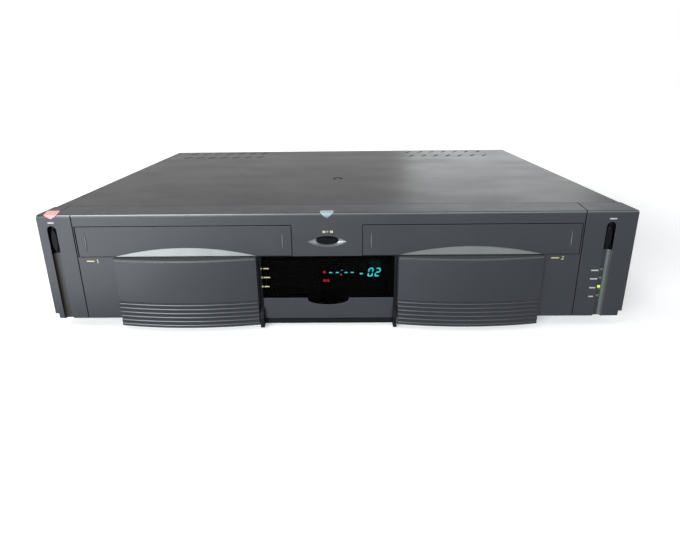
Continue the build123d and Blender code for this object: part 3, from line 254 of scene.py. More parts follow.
# The black wells at the heads of the caps' channels are thin glossy liners. Each is moulded with a wall round
# its arch and a floor round the button, stops straight below the button, and is pressed into its channel.
def centre_of(node_name):
    """Middle of a CAD node's box."""
    low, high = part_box(node_name)
    return [(near + far) / 2 for near, far in zip(low, high)]


def corners(work, outline, y):
    """Corners of an outline of x and z, all at one depth."""
    return [work.verts.new((x, y, z)) for x, z in outline]


def stitch(work, rows, closed=False):
    """Faces between neighbouring rows of corners, all the way round where the rows are closed."""
    for near, far in zip(rows, rows[1:]):
        for index in range(len(near) if closed else len(near) - 1):
            after = (index + 1) % len(near)
            work.faces.new((near[index], near[after], far[after], far[index]))


def oval_inside(outline, x, z, half, tall):
    """Points of an oval, one opposite each point of the outline round it."""
    angles = [math.atan2((pz - z) / tall, (px - x) / half) for px, pz in outline]
    return [(x + half * math.cos(angle), z + tall * math.sin(angle)) for angle in angles]


def add_piece(name, work, material, body="case", smooth=False):
    """Finished mesh as an object that rides on a body and takes its finish from a slot."""
    bmesh.ops.recalc_face_normals(work, faces=work.faces)
    for face in work.faces:
        face.smooth = smooth
    mesh = bpy.data.meshes.new(name)
    work.to_mesh(mesh)
    work.free()
    mesh.materials.append(material)
    piece = bpy.data.objects.new(name, mesh)
    scene.collection.objects.link(piece)
    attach(piece, body)


gloss_black = moulded_plastic("gloss_black", (0.004, 0.004, 0.005), 0.12, relief=0.000004, rubbed=2.0,
                              specular=0.05)


def well_liner(name, button):
    """Liner of one channel head."""
    channel_half, channel_depth, skin, sunk = 0.00425, 0.004, 0.0003, 0.00025
    head_drop, foot_drop, rises, arch_steps = 0.0103, 0.0378, (0.0, 0.007, 0.014), 12
    oval_drop, oval_half, oval_tall = 0.025, 0.0036, 0.0113
    arch_z, foot_z, oval_z = top_z - head_drop - channel_half, top_z - foot_drop, top_z - oval_drop
    middle, half = centre_of(button)[0], channel_half - skin / 2
    rim = [(middle - half, foot_z + rise) for rise in rises]
    for step in range(arch_steps + 1):
        angle = math.pi - math.pi * step / arch_steps
        rim.append((middle + half * math.cos(angle), arch_z + half * math.sin(angle)))
    rim += [(middle + half, foot_z + rise) for rise in reversed(rises)]
    sill = [(middle + half * share, foot_z) for share in (0.5, 0.0, -0.5)]
    floor_y = fascia_y + channel_depth - skin
    work = bmesh.new()
    front, low = corners(work, rim, fascia_y + sunk), corners(work, rim + sill, floor_y)
    oval = corners(work, oval_inside(rim + sill, middle, oval_z, oval_half, oval_tall), floor_y)
    lip = corners(work, [rim[-1]] + sill + [rim[0]], fascia_y + channel_depth)
    stitch(work, [front, low[:len(rim)]])
    stitch(work, [low, oval], closed=True)
    stitch(work, [low[len(rim) - 1:] + [low[0]], lip])
    add_piece(name, work, gloss_black)


well_liner("left_well", "power_button")
well_liner("right_well", "view_button")


# The long oval buttons in the wells and the copy button are glossy black plastic. The copy button sits in a
# dished eye, a smooth bowl of the front's own plastic that runs from the eye's rim down to the button. The bowl
# is painted in a much lighter copy of that plastic, a painted highlight.
dress(gloss_black, "power_button", "view_button", "copy_button")
# A much lighter copy of the front's plastic: painted highlight on the eye's bowl and the notch blades.
highlight_charcoal = moulded_plastic("highlight_charcoal", (0.11, 0.118, 0.118), 0.24, relief=0.00001, specular=0.6,
                                 crease=0.004)


def arc_radius(half, rise):
    """Radius of the arc over a chord, from half the chord and its rise."""
    return (half ** 2 + rise ** 2) / (2 * rise)


def eye_dish():
    """Bowl between the eye's rim on the front and the copy button's hole."""
    rim_drop, half, rise, count = 0.0273, 0.01805, 0.0052, 24
    hole_half, hole_rise = 0.0105, 0.0038
    bowl = ((0.0, 0.00003), (0.25, 0.0009), (0.6, 0.0016), (1.0, 0.00205))
    x, _, z = centre_of("copy_button")
    rim_z = top_z - rim_drop
    radius = arc_radius(half, rise)
    sweep = math.asin(half / radius)
    rim = []
    for index in range(count):
        angle = sweep - 2 * sweep * index / count
        rim.append((x + radius * math.sin(angle), rim_z + rise - radius + radius * math.cos(angle)))
    rim += [(2 * x - px, 2 * rim_z - pz) for px, pz in rim]
    hole = oval_inside(rim, x, z, hole_half, hole_rise)
    work = bmesh.new()
    rows = []
    for share, depth in bowl:
        outline = [(px + (qx - px) * share, pz + (qz - pz) * share) for (px, pz), (qx, qz) in zip(rim, hole)]
        rows.append(corners(work, outline, fascia_y + depth))
    stitch(work, rows, closed=True)
    add_piece("eye_dish", work, highlight_charcoal, smooth=True)


eye_dish()


# A slim bead runs along the top edge of the front and its caps, in five stretches between the seams and the
# lenses. It is smoother than the front, and its much lighter colour is a painted highlight of the window light.
bead_highlight = moulded_plastic("bead_highlight", (0.050, 0.055, 0.055), 0.34, relief=0.00001, specular=0.4)


def top_bead(name, x0, x1):
    """One stretch of the bead, from its side outline of depths and drops below the top."""
    path, steps = ((0.0, 0.00135), (-0.00026, 0.00120), (-0.00014, 0.00060), (0.0, 0.00005)), 8
    work = bmesh.new()
    rows = [[work.verts.new((x0 + (x1 - x0) * step / steps, fascia_y + depth, top_z - drop))
             for depth, drop in path] for step in range(steps + 1)]
    stitch(work, rows)
    add_piece(name, work, bead_highlight)


cap_gap, cap_end = 0.0004, 0.0006
seams, corner_lens, middle_lens = (
    [corner[0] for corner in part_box(node_name)] for node_name in ("front_bezel", "power_lens", "centre_lens"))
bead_ends = ((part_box("left_end_cap")[0][0] + cap_end, corner_lens[0]), (corner_lens[1], seams[0] - cap_gap),
             (seams[0] + cap_gap, middle_lens[0]), (middle_lens[1], seams[1] - cap_gap),
             (seams[1] + cap_gap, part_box("right_end_cap")[1][0] - cap_end))
for index, ends in enumerate(bead_ends):
    top_bead(f"bead_{index}", *ends)


# Each end cap has a finger channel down its front, and a smooth curved skin fills the channel's outer half.
# The right one is as bright as the bead, a painted highlight on the wall that faces the light, and the left one
# is a dull brown painted for the wall in shade.
def channel_slide(name, button, cap, side, start, finish):
    """Curved skin from the middle of a channel's floor to its outer edge; side is 1 for the right one."""
    outer, shallow, deep, fullness, across, along = 0.0042, 0.0002, 0.0036, 0.8, 8, 6
    head_drop, foot_gap = 0.0380, 0.0002
    middle, head, foot = centre_of(button)[0], top_z - head_drop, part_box(cap)[0][2] + foot_gap
    work = bmesh.new()
    rows = []
    for step in range(across + 1):
        turn = math.pi / 2 * step / across
        x = middle + side * (start + (outer - start) * math.sin(turn))
        line = [(x, head + (foot - head) * part / along) for part in range(along + 1)]
        rows.append(corners(work, line, fascia_y + shallow + deep * math.cos(turn) ** fullness))
    stitch(work, rows)
    add_piece(name, work, finish, smooth=True)


# Painted shade: the left skin's dull brown stands for the shaded wall of its channel.
slide_shade_brown = moulded_plastic("slide_shade_brown", (0.018, 0.016, 0.014), 0.4, relief=0.00001, specular=0.25)
channel_slide("right_slide", "view_button", "right_end_cap", 1, 0.0012, bead_highlight)
channel_slide("left_slide", "power_button", "left_end_cap", -1, 0.0004, slide_shade_brown)


# Marks are printed on the mouldings in pale gold and white ink. They are plain numbers for the decks, small
# symbols and dashes, drawn as thin films on the faces that carry them.
def printing_ink(name, colour):
    """Dry ink film with slightly uneven cover."""
    material, tree, shader = new_material(name)
    cover = mottle(tree, 0.0006, 4)
    fill(tree, shader, {"Base Color": ramp(tree, cover, (0.3, shade(colour, 0.82)), (0.65, colour)),
                        "Roughness": 0.45, "Normal": raised(tree, cover, 0.2, 0.00001)})
    return material


gold_ink = printing_ink("gold_ink", (0.30, 0.25, 0.15))
white_ink = printing_ink("white_ink", (0.24, 0.25, 0.26))


def print_mark(name, outlines, x, z, y, ink, tall, body="case", thick=0.00004):
    """Outlines in units of the mark's height, as a film that stands on a face turned to the front."""
    work = bmesh.new()
    for outline in outlines:
        points = [(x + px * tall, z + pz * tall) for px, pz in outline]
        low, high = corners(work, points, y + thick / 4), corners(work, points, y - thick)
        work.faces.new(high)
        stitch(work, [low, high], closed=True)
    add_piece(name, work, ink, body)


def front_mark(name, outlines, x, drop, tall, ink):
    """Mark on the front's face, at a drop below its top."""
    print_mark(name, outlines, x, top_z - drop, fascia_y, ink, tall)


def bar(x0, x1, z0, z1):
    """Rectangle of a mark."""
    return [(x0, z0), (x1, z0), (x1, z1), (x0, z1)]


def dot(x, z, radius, count=14):
    """Round spot of a mark."""
    angles = [2 * math.pi * index / count for index in range(count)]
    return [(x + radius * math.cos(angle), z + radius * math.sin(angle)) for angle in angles]


def wedge(x, z, half, turn=1):
    """Triangle of a mark that points along X, or back with turn -1."""
    return [(x - turn * half, z - half), (x + turn * half, z), (x - turn * half, z + half)]


one = [bar(-0.08, 0.08, -0.5, 0.5), [(-0.08, 0.5), (-0.28, 0.28), (-0.28, 0.14), (-0.08, 0.3)],
       bar(-0.26, 0.26, -0.5, -0.38)]
two = [bar(-0.32, 0.32, -0.5, -0.37), [(-0.32, -0.37), (-0.13, -0.37), (0.32, 0.12), (0.18, 0.16)],
       [(0.18, 0.16), (0.32, 0.12), (0.32, 0.3), (0.2, 0.44), (0.0, 0.5), (0.0, 0.37), (0.12, 0.33),
        (0.18, 0.24)],
       [(0.0, 0.5), (-0.2, 0.44), (-0.31, 0.28), (-0.18, 0.24), (-0.1, 0.34), (0.0, 0.37)]]
deck_dash = bar(-2.9, -0.9, -0.16, 0.16)
word_dash = bar(-2.4, 2.4, -0.5, 0.5)
front_mark("deck_number_1", one + [deck_dash], x=-0.2245, drop=0.0452, tall=0.0036, ink=gold_ink)
front_mark("deck_number_2", two + [deck_dash], x=0.2115, drop=0.0448, tall=0.0036, ink=gold_ink)
front_mark("copy_mark", [bar(-2.3, -1.0, -0.5, 0.5), wedge(0, 0, 0.42), bar(1.0, 2.3, -0.5, 0.5)],
           x=-0.0068, drop=0.0178, tall=0.0021, ink=gold_ink)
front_mark("power_mark", [word_dash], x=-0.2622, drop=0.0073, tall=0.0012, ink=white_ink)
front_mark("view_mark", [word_dash], x=0.2527, drop=0.0073, tall=0.0013, ink=white_ink)
lamp_rows = ((0.0576, 2.6), (0.0662, 2.6), (0.0753, 2.2), (0.0843, 1.7))
for index, (drop, long) in enumerate(lamp_rows):
    front_mark(f"input_mark_{index + 1}", [bar(-long, long, -0.5, 0.5)], x=0.2432, drop=drop, tall=0.0013,
               ink=white_ink)


# The lamps in the right channel are clear green plastic over small diodes. The third one is lit, so its face
# is bright yellow green, and the little light it throws on the channel round it is painted as a glowing film.
def height_on_piece(tree):
    """Height of a point on its piece, in metres."""
    return add_node(tree, "SeparateXYZ", {"Vector": piece_place(tree)}).outputs["Z"]


lit_z, lit_reach, lit_core = top_z - lamp_rows[2][0], 0.0022, 0.0002
lamp_plastic, tree, shader = new_material("lamp_plastic")
away = calculate(tree, "ABSOLUTE", calculate(tree, "SUBTRACT", height_on_piece(tree), lit_z))
clear_tone = ramp(tree, mottle(tree, 0.0015, 3), (0.3, (0.05, 0.06, 0.04)), (0.7, (0.09, 0.10, 0.07)))
lit_tone = ramp(tree, spread(tree, away, 0.0, 1.0, start=lit_reach, end=lit_core),
                (0.0, (0.0, 0.0, 0.0)), (0.05, (0.25, 0.55, 0.0)), (0.9, (0.66, 0.85, 0.09)))
fill(tree, shader, {"Base Color": clear_tone, "Emission Color": lit_tone, "Emission Strength": 1.25,
                    "Roughness": 0.2})
dress(lamp_plastic, "input_lamps")
# Painted light: a faint glowing film on the channel round the lit lamp.
painted_lamp_glow, tree, shader = new_material("painted_lamp_glow")
halo_tone = ramp(tree, mottle(tree, 0.001, 3), (0.3, (0.020, 0.034, 0.002)), (0.7, (0.040, 0.062, 0.003)))
fill(tree, shader, {"Base Color": halo_tone, "Emission Color": halo_tone, "Emission Strength": 1.4})
halo_drop, halo_sunk, halo_wide, halo_aside = 0.0757, 0.0001, 0.52, 0.22
halo_outline = [(halo_wide * px + halo_aside, pz) for px, pz in dot(0, 0, 0.5, 20)]
print_mark("painted_lamp_glow", [halo_outline], centre_of("input_lamps")[0], top_z - halo_drop,
           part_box("input_lamps")[0][1] + halo_sunk, painted_lamp_glow, tall=0.0056, thick=0.00002)


# The corner lens over the power light is clear red plastic with the light on under it, and the middle lens is
# pale blue and unlit, though a faint glow is painted on it. Both are moulded wedges with a frosted underside,
# and their tone is paler towards the top, a painted highlight.
def lens_plastic(name, deep, pale, glow, tall):
    """Translucent lens: deeper colour towards its tip and paler at its top as a painted highlight, frosted
    streaks, and its own light.
    """
    material, tree, shader = new_material(name)
    height = spread(tree, height_on_piece(tree), 0.0, 1.0, start=top_z - tall, end=top_z)
    # Painted highlight: the tone grows paler towards the lens's top, over the frosted streaks.
    streaks_and_top_light = calculate(tree, "MULTIPLY_ADD", mottle(tree, 0.004, 4, (1, 0.3, 1)), 0.5,
                      calculate(tree, "MULTIPLY", height, 0.6))
    tone = ramp(tree, streaks_and_top_light, (0.2, deep), (0.85, pale))
    fill(tree, shader, {"Base Color": tone, "Emission Color": tone, "Emission Strength": glow,
                        "Roughness": 0.16, "Subsurface Weight": 0.25,
                        "Subsurface Radius": (0.002, 0.002, 0.002), "Coat Weight": 0.3})
    return material


red_lens = lens_plastic("red_lens", (0.46, 0.09, 0.11), (0.72, 0.20, 0.20), glow=0.16, tall=0.004)
# Painted light: the unlit blue lens still glows faintly.
blue_lens = lens_plastic("blue_lens", (0.05, 0.075, 0.095), (0.23, 0.29, 0.33), glow=0.01, tall=0.005)
dress(red_lens, "power_lens")
dress(blue_lens, "centre_lens")


# The slot flaps are charcoal plastic like the front, and a thin black frame of painted shade edges their slots.
# Each flap's finger recess has a smooth satin skin, flush at the flap's foot and sunk towards the arch,
# coloured lighter as a painted highlight, and a thin upright blade, lighter as a painted highlight, stands in
# the notch at each end.
def slot_shade_frame(name, flap, wide_left=0.0):
    """Thin black frame round a slot, on the face of the front: painted shade that makes the gap read dark."""
    inset, head_drop, inner, outer, under = 0.0014, 0.0118, 0.0001, 0.0008, 0.0006
    sunk, proud, film = 0.0004, -0.00003, 0.00001
    low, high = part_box(flap)
    x0, x1, z0, z1 = low[0] + inset, high[0] - inset, low[2], top_z - head_drop
    near = bar(x0 - inner, x1 + inner, z0 - inner, z1 + inner)
    far = bar(x0 - outer - wide_left, x1 + outer, z0 - under, z1 + outer)
    rings = ((near, sunk), (near, proud), (far, proud), (far, film))
    work = bmesh.new()
    stitch(work, [corners(work, ring, fascia_y + depth) for ring, depth in rings], closed=True)
    add_piece(name, work, slot_shade_black)


def recess_skin(name, flap):
    """Smooth skin on the sloping floor of a flap's finger recess, lighter as a painted highlight."""
    half, rise, depth, slope_tall, proud, least = 0.0663, 0.0080, 0.0022, 0.0082, 0.00003, 0.00002
    steps = 40
    middle, foot, radius = centre_of(flap)[0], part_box(flap)[0][2], arc_radius(half, rise)
    work = bmesh.new()
    rows = []
    for step in range(steps + 1):
        x = half * (2 * step / steps - 1)
        high = max(math.sqrt(radius ** 2 - x ** 2) - radius + rise, least)
        rows.append([work.verts.new((middle + x, fascia_y + depth * high * part / slope_tall - proud,
                                     foot + high * part)) for part in (0.0, 0.35, 0.7, 1.0)])
    stitch(work, rows)
    add_piece(name, work, satin_highlight, flap)


def notch_blades(flap):
    """Two thin upright blades that stand in the left halves of a flap's end notches, lighter as a painted
    highlight.
    """
    inset, half, drop, widest, least, steps = 0.0094, 0.0092, 0.0263, 0.00085, 0.00001, 12
    profile = ((-1.0, 0.00045), (-0.85, 0.0001), (-0.3, -0.00004), (-0.05, 0.0001))
    low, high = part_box(flap)
    for tag, middle in (("left", low[0] + inset), ("right", high[0] - inset)):
        work = bmesh.new()
        rows = []
        for step in range(steps + 1):
            along = 2 * step / steps - 1
            wide, z = widest * (1 - along ** 2) + least, top_z - drop + half * along
            rows.append([work.verts.new((middle + share * wide, fascia_y + depth, z))
                         for share, depth in profile])
        stitch(work, rows)
        add_piece(f"notch_blade_{tag}_{flap[-1]}", work, highlight_charcoal, flap)


# Painted shade: near-black frames that make the slot gaps read dark and wide.
slot_shade_black = moulded_plastic("slot_shade_black", (0.004, 0.004, 0.005), 0.8, relief=0.00006, specular=0.05,
                            rubbed=1.0)
# Lighter copy of the front's plastic: painted highlight on the recess skins and the door lips.
satin_highlight = moulded_plastic("satin_highlight", (0.050, 0.055, 0.053), 0.34, relief=0.00001, specular=0.4)
slot_shade_frame("slot_shade_frame_1", "cassette_flap_1", wide_left=0.0004)
slot_shade_frame("slot_shade_frame_2", "cassette_flap_2")
for number in (1, 2):
    dress(charcoal, f"cassette_flap_{number}")
    recess_skin(f"recess_skin_{number}", f"cassette_flap_{number}")
    notch_blades(f"cassette_flap_{number}")


# The bowed control doors are the same charcoal plastic, with six rounded ribs along the foot. A smooth lip
# runs over each door's top and the round along its front, and smooth slopes lie between the ribs; both are
# painted lighter, as painted highlights.
groove_start, groove_half, groove_pitch, groove_count = 0.0034, 0.00075, 0.0042, 6


def rounded_ribs(material):
    """Rounds the ribs at the foot of a door: their fronts swell and sink with the pitch of the grooves."""
    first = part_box("control_door_1")[0][2] + groove_start + groove_half
    swell_depth, facing_front = 0.00045, -0.5
    tree = material.node_tree
    height = height_on_piece(tree)
    facing = add_node(tree, "SeparateXYZ", {"Vector": add_node(tree, "TexCoord").outputs["Normal"]})
    swell = calculate(tree, "SINE", spread(tree, height, 0.0, 2 * math.pi, start=first,
                                           end=first + groove_pitch, clamp=False))
    for operation, source, limit in (("LESS_THAN", height, first + (groove_count - 0.5) * groove_pitch),
                                     ("GREATER_THAN", height, first - 0.5 * groove_pitch),
                                     ("LESS_THAN", facing.outputs["Y"], facing_front)):
        swell = calculate(tree, "MULTIPLY", swell, calculate(tree, operation, source, limit))
    grain = tree.nodes["Principled BSDF"].inputs["Normal"].links[0].from_node
    edges = grain.inputs["Normal"].links[0].from_socket
    ribs = add_node(tree, "Bump", {"Height": swell, "Strength": 1.0, "Distance": swell_depth,
                                   "Normal": edges}, invert=True)
    fill(tree, grain, {"Normal": ribs.outputs["Normal"]})


def door_front(half, x):
    """Depth of a door's bowed front, from half its width and the distance from its middle."""
    bulge, end = 0.0113, 0.0054
    radius = arc_radius(half, bulge - end)
    return fascia_y - bulge + radius - math.sqrt(radius ** 2 - x ** 2)


def door_lip(name, door):
    """Smooth skin over a door's top face and the round along its front, lighter as a painted highlight."""
    inset, back, turned, proud, steps = 0.0006, 0.0008, 0.0018, 0.00003, 40
    low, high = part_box(door)
    half, middle, head = (high[0] - low[0]) / 2, centre_of(door)[0], high[2]
    work = bmesh.new()
    rows = []
    for step in range(steps + 1):
        x = (half - inset) * (2 * step / steps - 1)
        front = door_front(half, x)
        path = [(fascia_y - back, head + proud), ((fascia_y + front + turned) / 2, head + proud)]
        for angle in (0, 15, 30, 45, 60):
            turn = math.radians(angle)
            path.append((front + turned - (turned + proud) * math.sin(turn),
                         head - turned + (turned + proud) * math.cos(turn)))
        rows.append([work.verts.new((middle + x, y, z)) for y, z in path])
    stitch(work, rows)
    add_piece(name, work, satin_highlight, door, smooth=True)


def rib_slopes(name, door):
    """Smooth slopes in the grooves between a door's ribs, from a rib's front edge to the groove's floor,
    lighter as painted highlights.
    """
    inset, steps = 0.0003, 24
    slope = ((0.00002, 0.00002), (0.00015, 0.0005), (0.0006, 0.0011), (0.00078, 0.0012))
    low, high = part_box(door)
    half, middle = (high[0] - low[0]) / 2, centre_of(door)[0]
    work = bmesh.new()
    for index in range(groove_count):
        foot = low[2] + groove_start + index * groove_pitch
        rows = []
        for step in range(steps + 1):
            x = (half - inset) * (2 * step / steps - 1)
            rows.append([work.verts.new((middle + x, door_front(half, x) + depth, foot + up))
                         for depth, up in slope])
        stitch(work, rows)
    add_piece(name, work, rib_highlight, door, smooth=True)


door_plastic = charcoal_plastic("door_plastic", 0.001)
rounded_ribs(door_plastic)
# Painted highlight: a slightly lighter plastic for the slopes between the ribs.
rib_highlight = moulded_plastic("rib_highlight", (0.016, 0.0175, 0.021), 0.36, relief=0.00001, specular=0.36,
                            rubbed=2.0)
for number in (1, 2):
    dress(door_plastic, f"control_door_{number}")
    door_lip(f"door_lip_{number}", f"control_door_{number}")
    rib_slopes(f"rib_slopes_{number}", f"control_door_{number}")


# The keys behind each door are dark plastic with printed symbols for eject, rewind, play, forward and record.
# They stand in a dark moulded tray.
dark_plastic = moulded_plastic("dark_plastic", (0.014, 0.014, 0.015), 0.42)
symbol_tall = 0.0032
key_symbols = {
    "eject_key": [[(-0.5, 0.0), (0.5, 0.0), (0.0, 0.5)], bar(-0.5, 0.5, -0.35, -0.15)],
    "rewind_key": [wedge(-0.45, 0, 0.42, -1), wedge(0.45, 0, 0.42, -1)],
    "play_key": [wedge(0, 0, 0.5)],
    "forward_key": [wedge(-0.45, 0, 0.42), wedge(0.45, 0, 0.42)],
    "record_key": [dot(0, 0, 0.45)],
}
for number in (1, 2):
    dress(dark_plastic, f"control_panel_{number}")
    for key_name, symbol in key_symbols.items():
        key = f"{key_name}_{number}"
        dress(dark_plastic, key)
        x, _, z = centre_of(key)
        print_mark(f"{key_name}_mark_{number}", symbol, x, z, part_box(key)[0][1], white_ink, symbol_tall,
                   body=key)


# The window is smoked acrylic, with three small marks printed at its left. Behind it stands the display tube:
# black glass with glowing segments of teal phosphor, two red signs, and a dim colon.
smoked_window, tree, shader = new_material("smoked_window")
haze = mottle(tree, 0.03, 4)
smoke = ramp(tree, haze, (0.3, (0.075, 0.070, 0.075)), (0.7, (0.085, 0.080, 0.085)))
fill(tree, shader, {"Base Color": smoke, "Roughness": spread(tree, haze, 0.02, 0.06),
                    "Transmission Weight": 1.0, "IOR": 1.10})
dress(smoked_window, "display_window")

tube_glass, tree, shader = new_material("display_glass")
wires = add_node(tree, "TexWave", {"Vector": piece_place(tree), "Scale": 300}).outputs["Fac"]
wire_tone = ramp(tree, wires, (0.0, (0.004, 0.005, 0.005)), (1.0, (0.010, 0.011, 0.011)))
fill(tree, shader, {"Base Color": wire_tone, "Roughness": 0.25})
dress(tube_glass, "display_module")


def phosphor(name, colour, strength):
    """Glowing phosphor with a slight grain."""
    material, tree, shader = new_material(name)
    tone = ramp(tree, mottle(tree, 0.0007, 3), (0.2, shade(colour, 0.8)), (0.7, colour))
    fill(tree, shader, {"Base Color": tone, "Emission Color": tone, "Emission Strength": strength})
    return material


teal_phosphor = phosphor("teal_phosphor", (0.06, 0.62, 0.62), 13.0)
dim_phosphor = phosphor("dim_phosphor", (0.40, 0.22, 0.45), 8.0)
red_phosphor = phosphor("red_phosphor", (0.62, 0.03, 0.05), 6.0)


def display_sign(name, outlines, x, drop, tall, material):
    """Lit sign on the display tube's face."""
    print_mark(name, outlines, x, top_z - drop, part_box("display_module")[0][1], material, tall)


def figure(*lit_bars):
    """Slanted seven-bar figure, one unit tall, from the bars that are lit."""
    wide, tall, thick, slant = 0.21, 0.5, 0.075, 0.16
    across = [(-wide, thick), (-wide + thick, 0), (wide - thick, 0), (wide, thick), (wide - thick, 2 * thick),
              (-wide + thick, 2 * thick)]
    upright = [(0, 0.03), (thick, 0.1), (thick, tall - 0.15), (0, tall - 0.08), (-thick, tall - 0.15),
               (-thick, 0.1)]
    bars = {"top": (across, 0, tall - 2 * thick), "middle": (across, 0, -thick), "foot": (across, 0, -tall),
            "upper_left": (upright, -wide, 0), "upper_right": (upright, wide, 0),
            "lower_left": (upright, -wide, -tall), "lower_right": (upright, wide, -tall)}
    outlines = []
    for outline, x, z in (bars[name] for name in lit_bars):
        outlines.append([(px + x + slant * (pz + z), pz + z) for px, pz in outline])
    return outlines


zero = figure("top", "foot", "upper_left", "upper_right", "lower_left", "lower_right")
second = figure("top", "middle", "foot", "upper_right", "lower_left")
display_sign("counter_zero", zero, x=0.0332, drop=0.0597, tall=0.0090, material=teal_phosphor)
display_sign("counter_two", second, x=0.0400, drop=0.0597, tall=0.0090, material=teal_phosphor)
display_sign("counter_point", [bar(-0.5, 0.5, -0.28, 0.28)], x=0.0243, drop=0.0612, tall=0.0028,
             material=teal_phosphor)
for index, x in enumerate((-0.0049, 0.0014, 0.0098, 0.0156)):
    display_sign(f"clock_dash_{index + 1}", [bar(-0.34, 0.34, -0.13, 0.13)], x, drop=0.0599, tall=0.0042,
                 material=teal_phosphor)
display_sign("clock_colon", [dot(0.1, 0.5, 0.17, 8), dot(-0.1, -0.5, 0.17, 8)], x=0.0054, drop=0.0598,
             tall=0.0044, material=dim_phosphor)
display_sign("red_sign_1", [dot(0, 0, 0.5)], x=-0.0110, drop=0.0594, tall=0.0030, material=red_phosphor)
display_sign("red_sign_2", [dot(-0.55, 0, 0.5), dot(0.55, 0, 0.5)], x=-0.0092, drop=0.0682, tall=0.0030,
             material=red_phosphor)

window_marks = ((0.0538, [wedge(-1.6, 0, 0.5), bar(-0.6, 2.2, -0.3, 0.3)]),
                (0.0628, [bar(-2.0, -1.7, -0.5, 0.5), bar(-1.4, -1.1, -0.5, 0.5), bar(-0.6, 2.6, -0.3, 0.3)]),
                (0.0722, [dot(-1.6, 0, 0.5), bar(-0.6, 2.0, -0.3, 0.3)]))
mark_x, mark_tall = -0.0672, 0.0018
for index, (drop, outlines) in enumerate(window_marks):
    print_mark(f"window_mark_{index + 1}", outlines, mark_x, top_z - drop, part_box("display_window")[0][1],
               gold_ink, mark_tall)


# The trim panel under the window is charcoal plastic, bare but for its grain, and a black strip closes the
# front's foot below it. A black strip and a hinge cheek stand in the groove at each side of it, and a bent
# black sheet closes the view under each door. These black pieces are painted shade, where the foot, the grooves
# and the view under the doors lie in shade.
dress(charcoal, "lower_panel")
# Painted shade: this near-black plastic marks the kick strip, the groove strips, the cheeks and the aprons.
shade_black = moulded_plastic("shade_black", (0.004, 0.004, 0.005), 0.5, specular=0.08)
dress(shade_black, "kick_strip")


def black_solid(name, near_outline, far_outline):
    """Closed solid between two outlines, black as painted shade."""
    work = bmesh.new()
    near, far = ([work.verts.new(point) for point in outline] for outline in (near_outline, far_outline))
    stitch(work, [near, far], closed=True)
    work.faces.new(near)
    work.faces.new(far)
    add_piece(name, work, shade_black)


def groove_shade_strip(name, x0, x1):
    """Upright black strip of painted shade with rounded front edges, in the groove beside the window, the panel
    and the strip.
    """
    foot, head_gap, back_depth, front_depth = 0.0045, 0.0001, 0.003, 0.0006
    rounding = ((0.0, 0.0005), (0.0002, 0.00015), (0.0005, 0.0))
    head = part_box("display_window")[1][2] - head_gap
    back, front = fascia_y + back_depth, fascia_y + front_depth
    outline = ([(x0, back)] + [(x0 + along, front + depth) for along, depth in rounding]
               + [(x1 - along, front + depth) for along, depth in reversed(rounding)] + [(x1, back)])
    black_solid(name, *([(x, y, z) for x, y in outline] for z in (foot, head)))


def sweep_apron(name, door):
    """Bent sheet behind the foot of a door, clear of its sweep, black as painted shade, that closes the view
    under it.
    """
    behind, tuck, foot, thickness = 0.0126, 0.0045, 0.0026, 0.0006
    bend = ((0.004, 0.0), (0.0009, 0.0), (0.0003, 0.0002), (0.0, 0.0008))
    x0, x1 = (corner[0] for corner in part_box(door))
    y, head = fascia_y + behind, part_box("front_bezel")[0][2] + tuck
    line = [(y + back, foot + up) for back, up in bend] + [(y, head)]
    work = bmesh.new()
    stitch(work, [[work.verts.new((x, py, pz)) for py, pz in line] for x in (x0, (x0 + x1) / 2, x1)])
    bmesh.ops.solidify(work, geom=work.faces[:], thickness=thickness)
    add_piece(name, work, shade_black)


def hinge_cheek(name, x0, x1):
    """Black cheek of painted shade at the foot of a groove, beside the end of a door."""
    outline = ((0.0030, 0.0012), (-0.0042, 0.0012), (-0.0052, 0.0020), (-0.0052, 0.0120), (-0.0040, 0.0180),
               (0.0010, 0.0240), (0.0030, 0.0240))
    black_solid(name, *([(x, fascia_y + depth, z) for depth, z in outline] for x in (x0, x1)))


for number in (1, 2):
    sweep_apron(f"door_apron_{number}", f"control_door_{number}")
groove_wide, touch = 0.0033, 0.0001
left_x, right_x = (corner[0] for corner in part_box("lower_panel"))
groove_shade_strip("left_shade_strip", left_x - groove_wide, left_x - touch)
groove_shade_strip("right_shade_strip", right_x + touch, right_x + groove_wide)
hinge_cheek("left_cheek", left_x - groove_wide, left_x + touch)
hinge_cheek("right_cheek", right_x - touch, right_x + groove_wide)


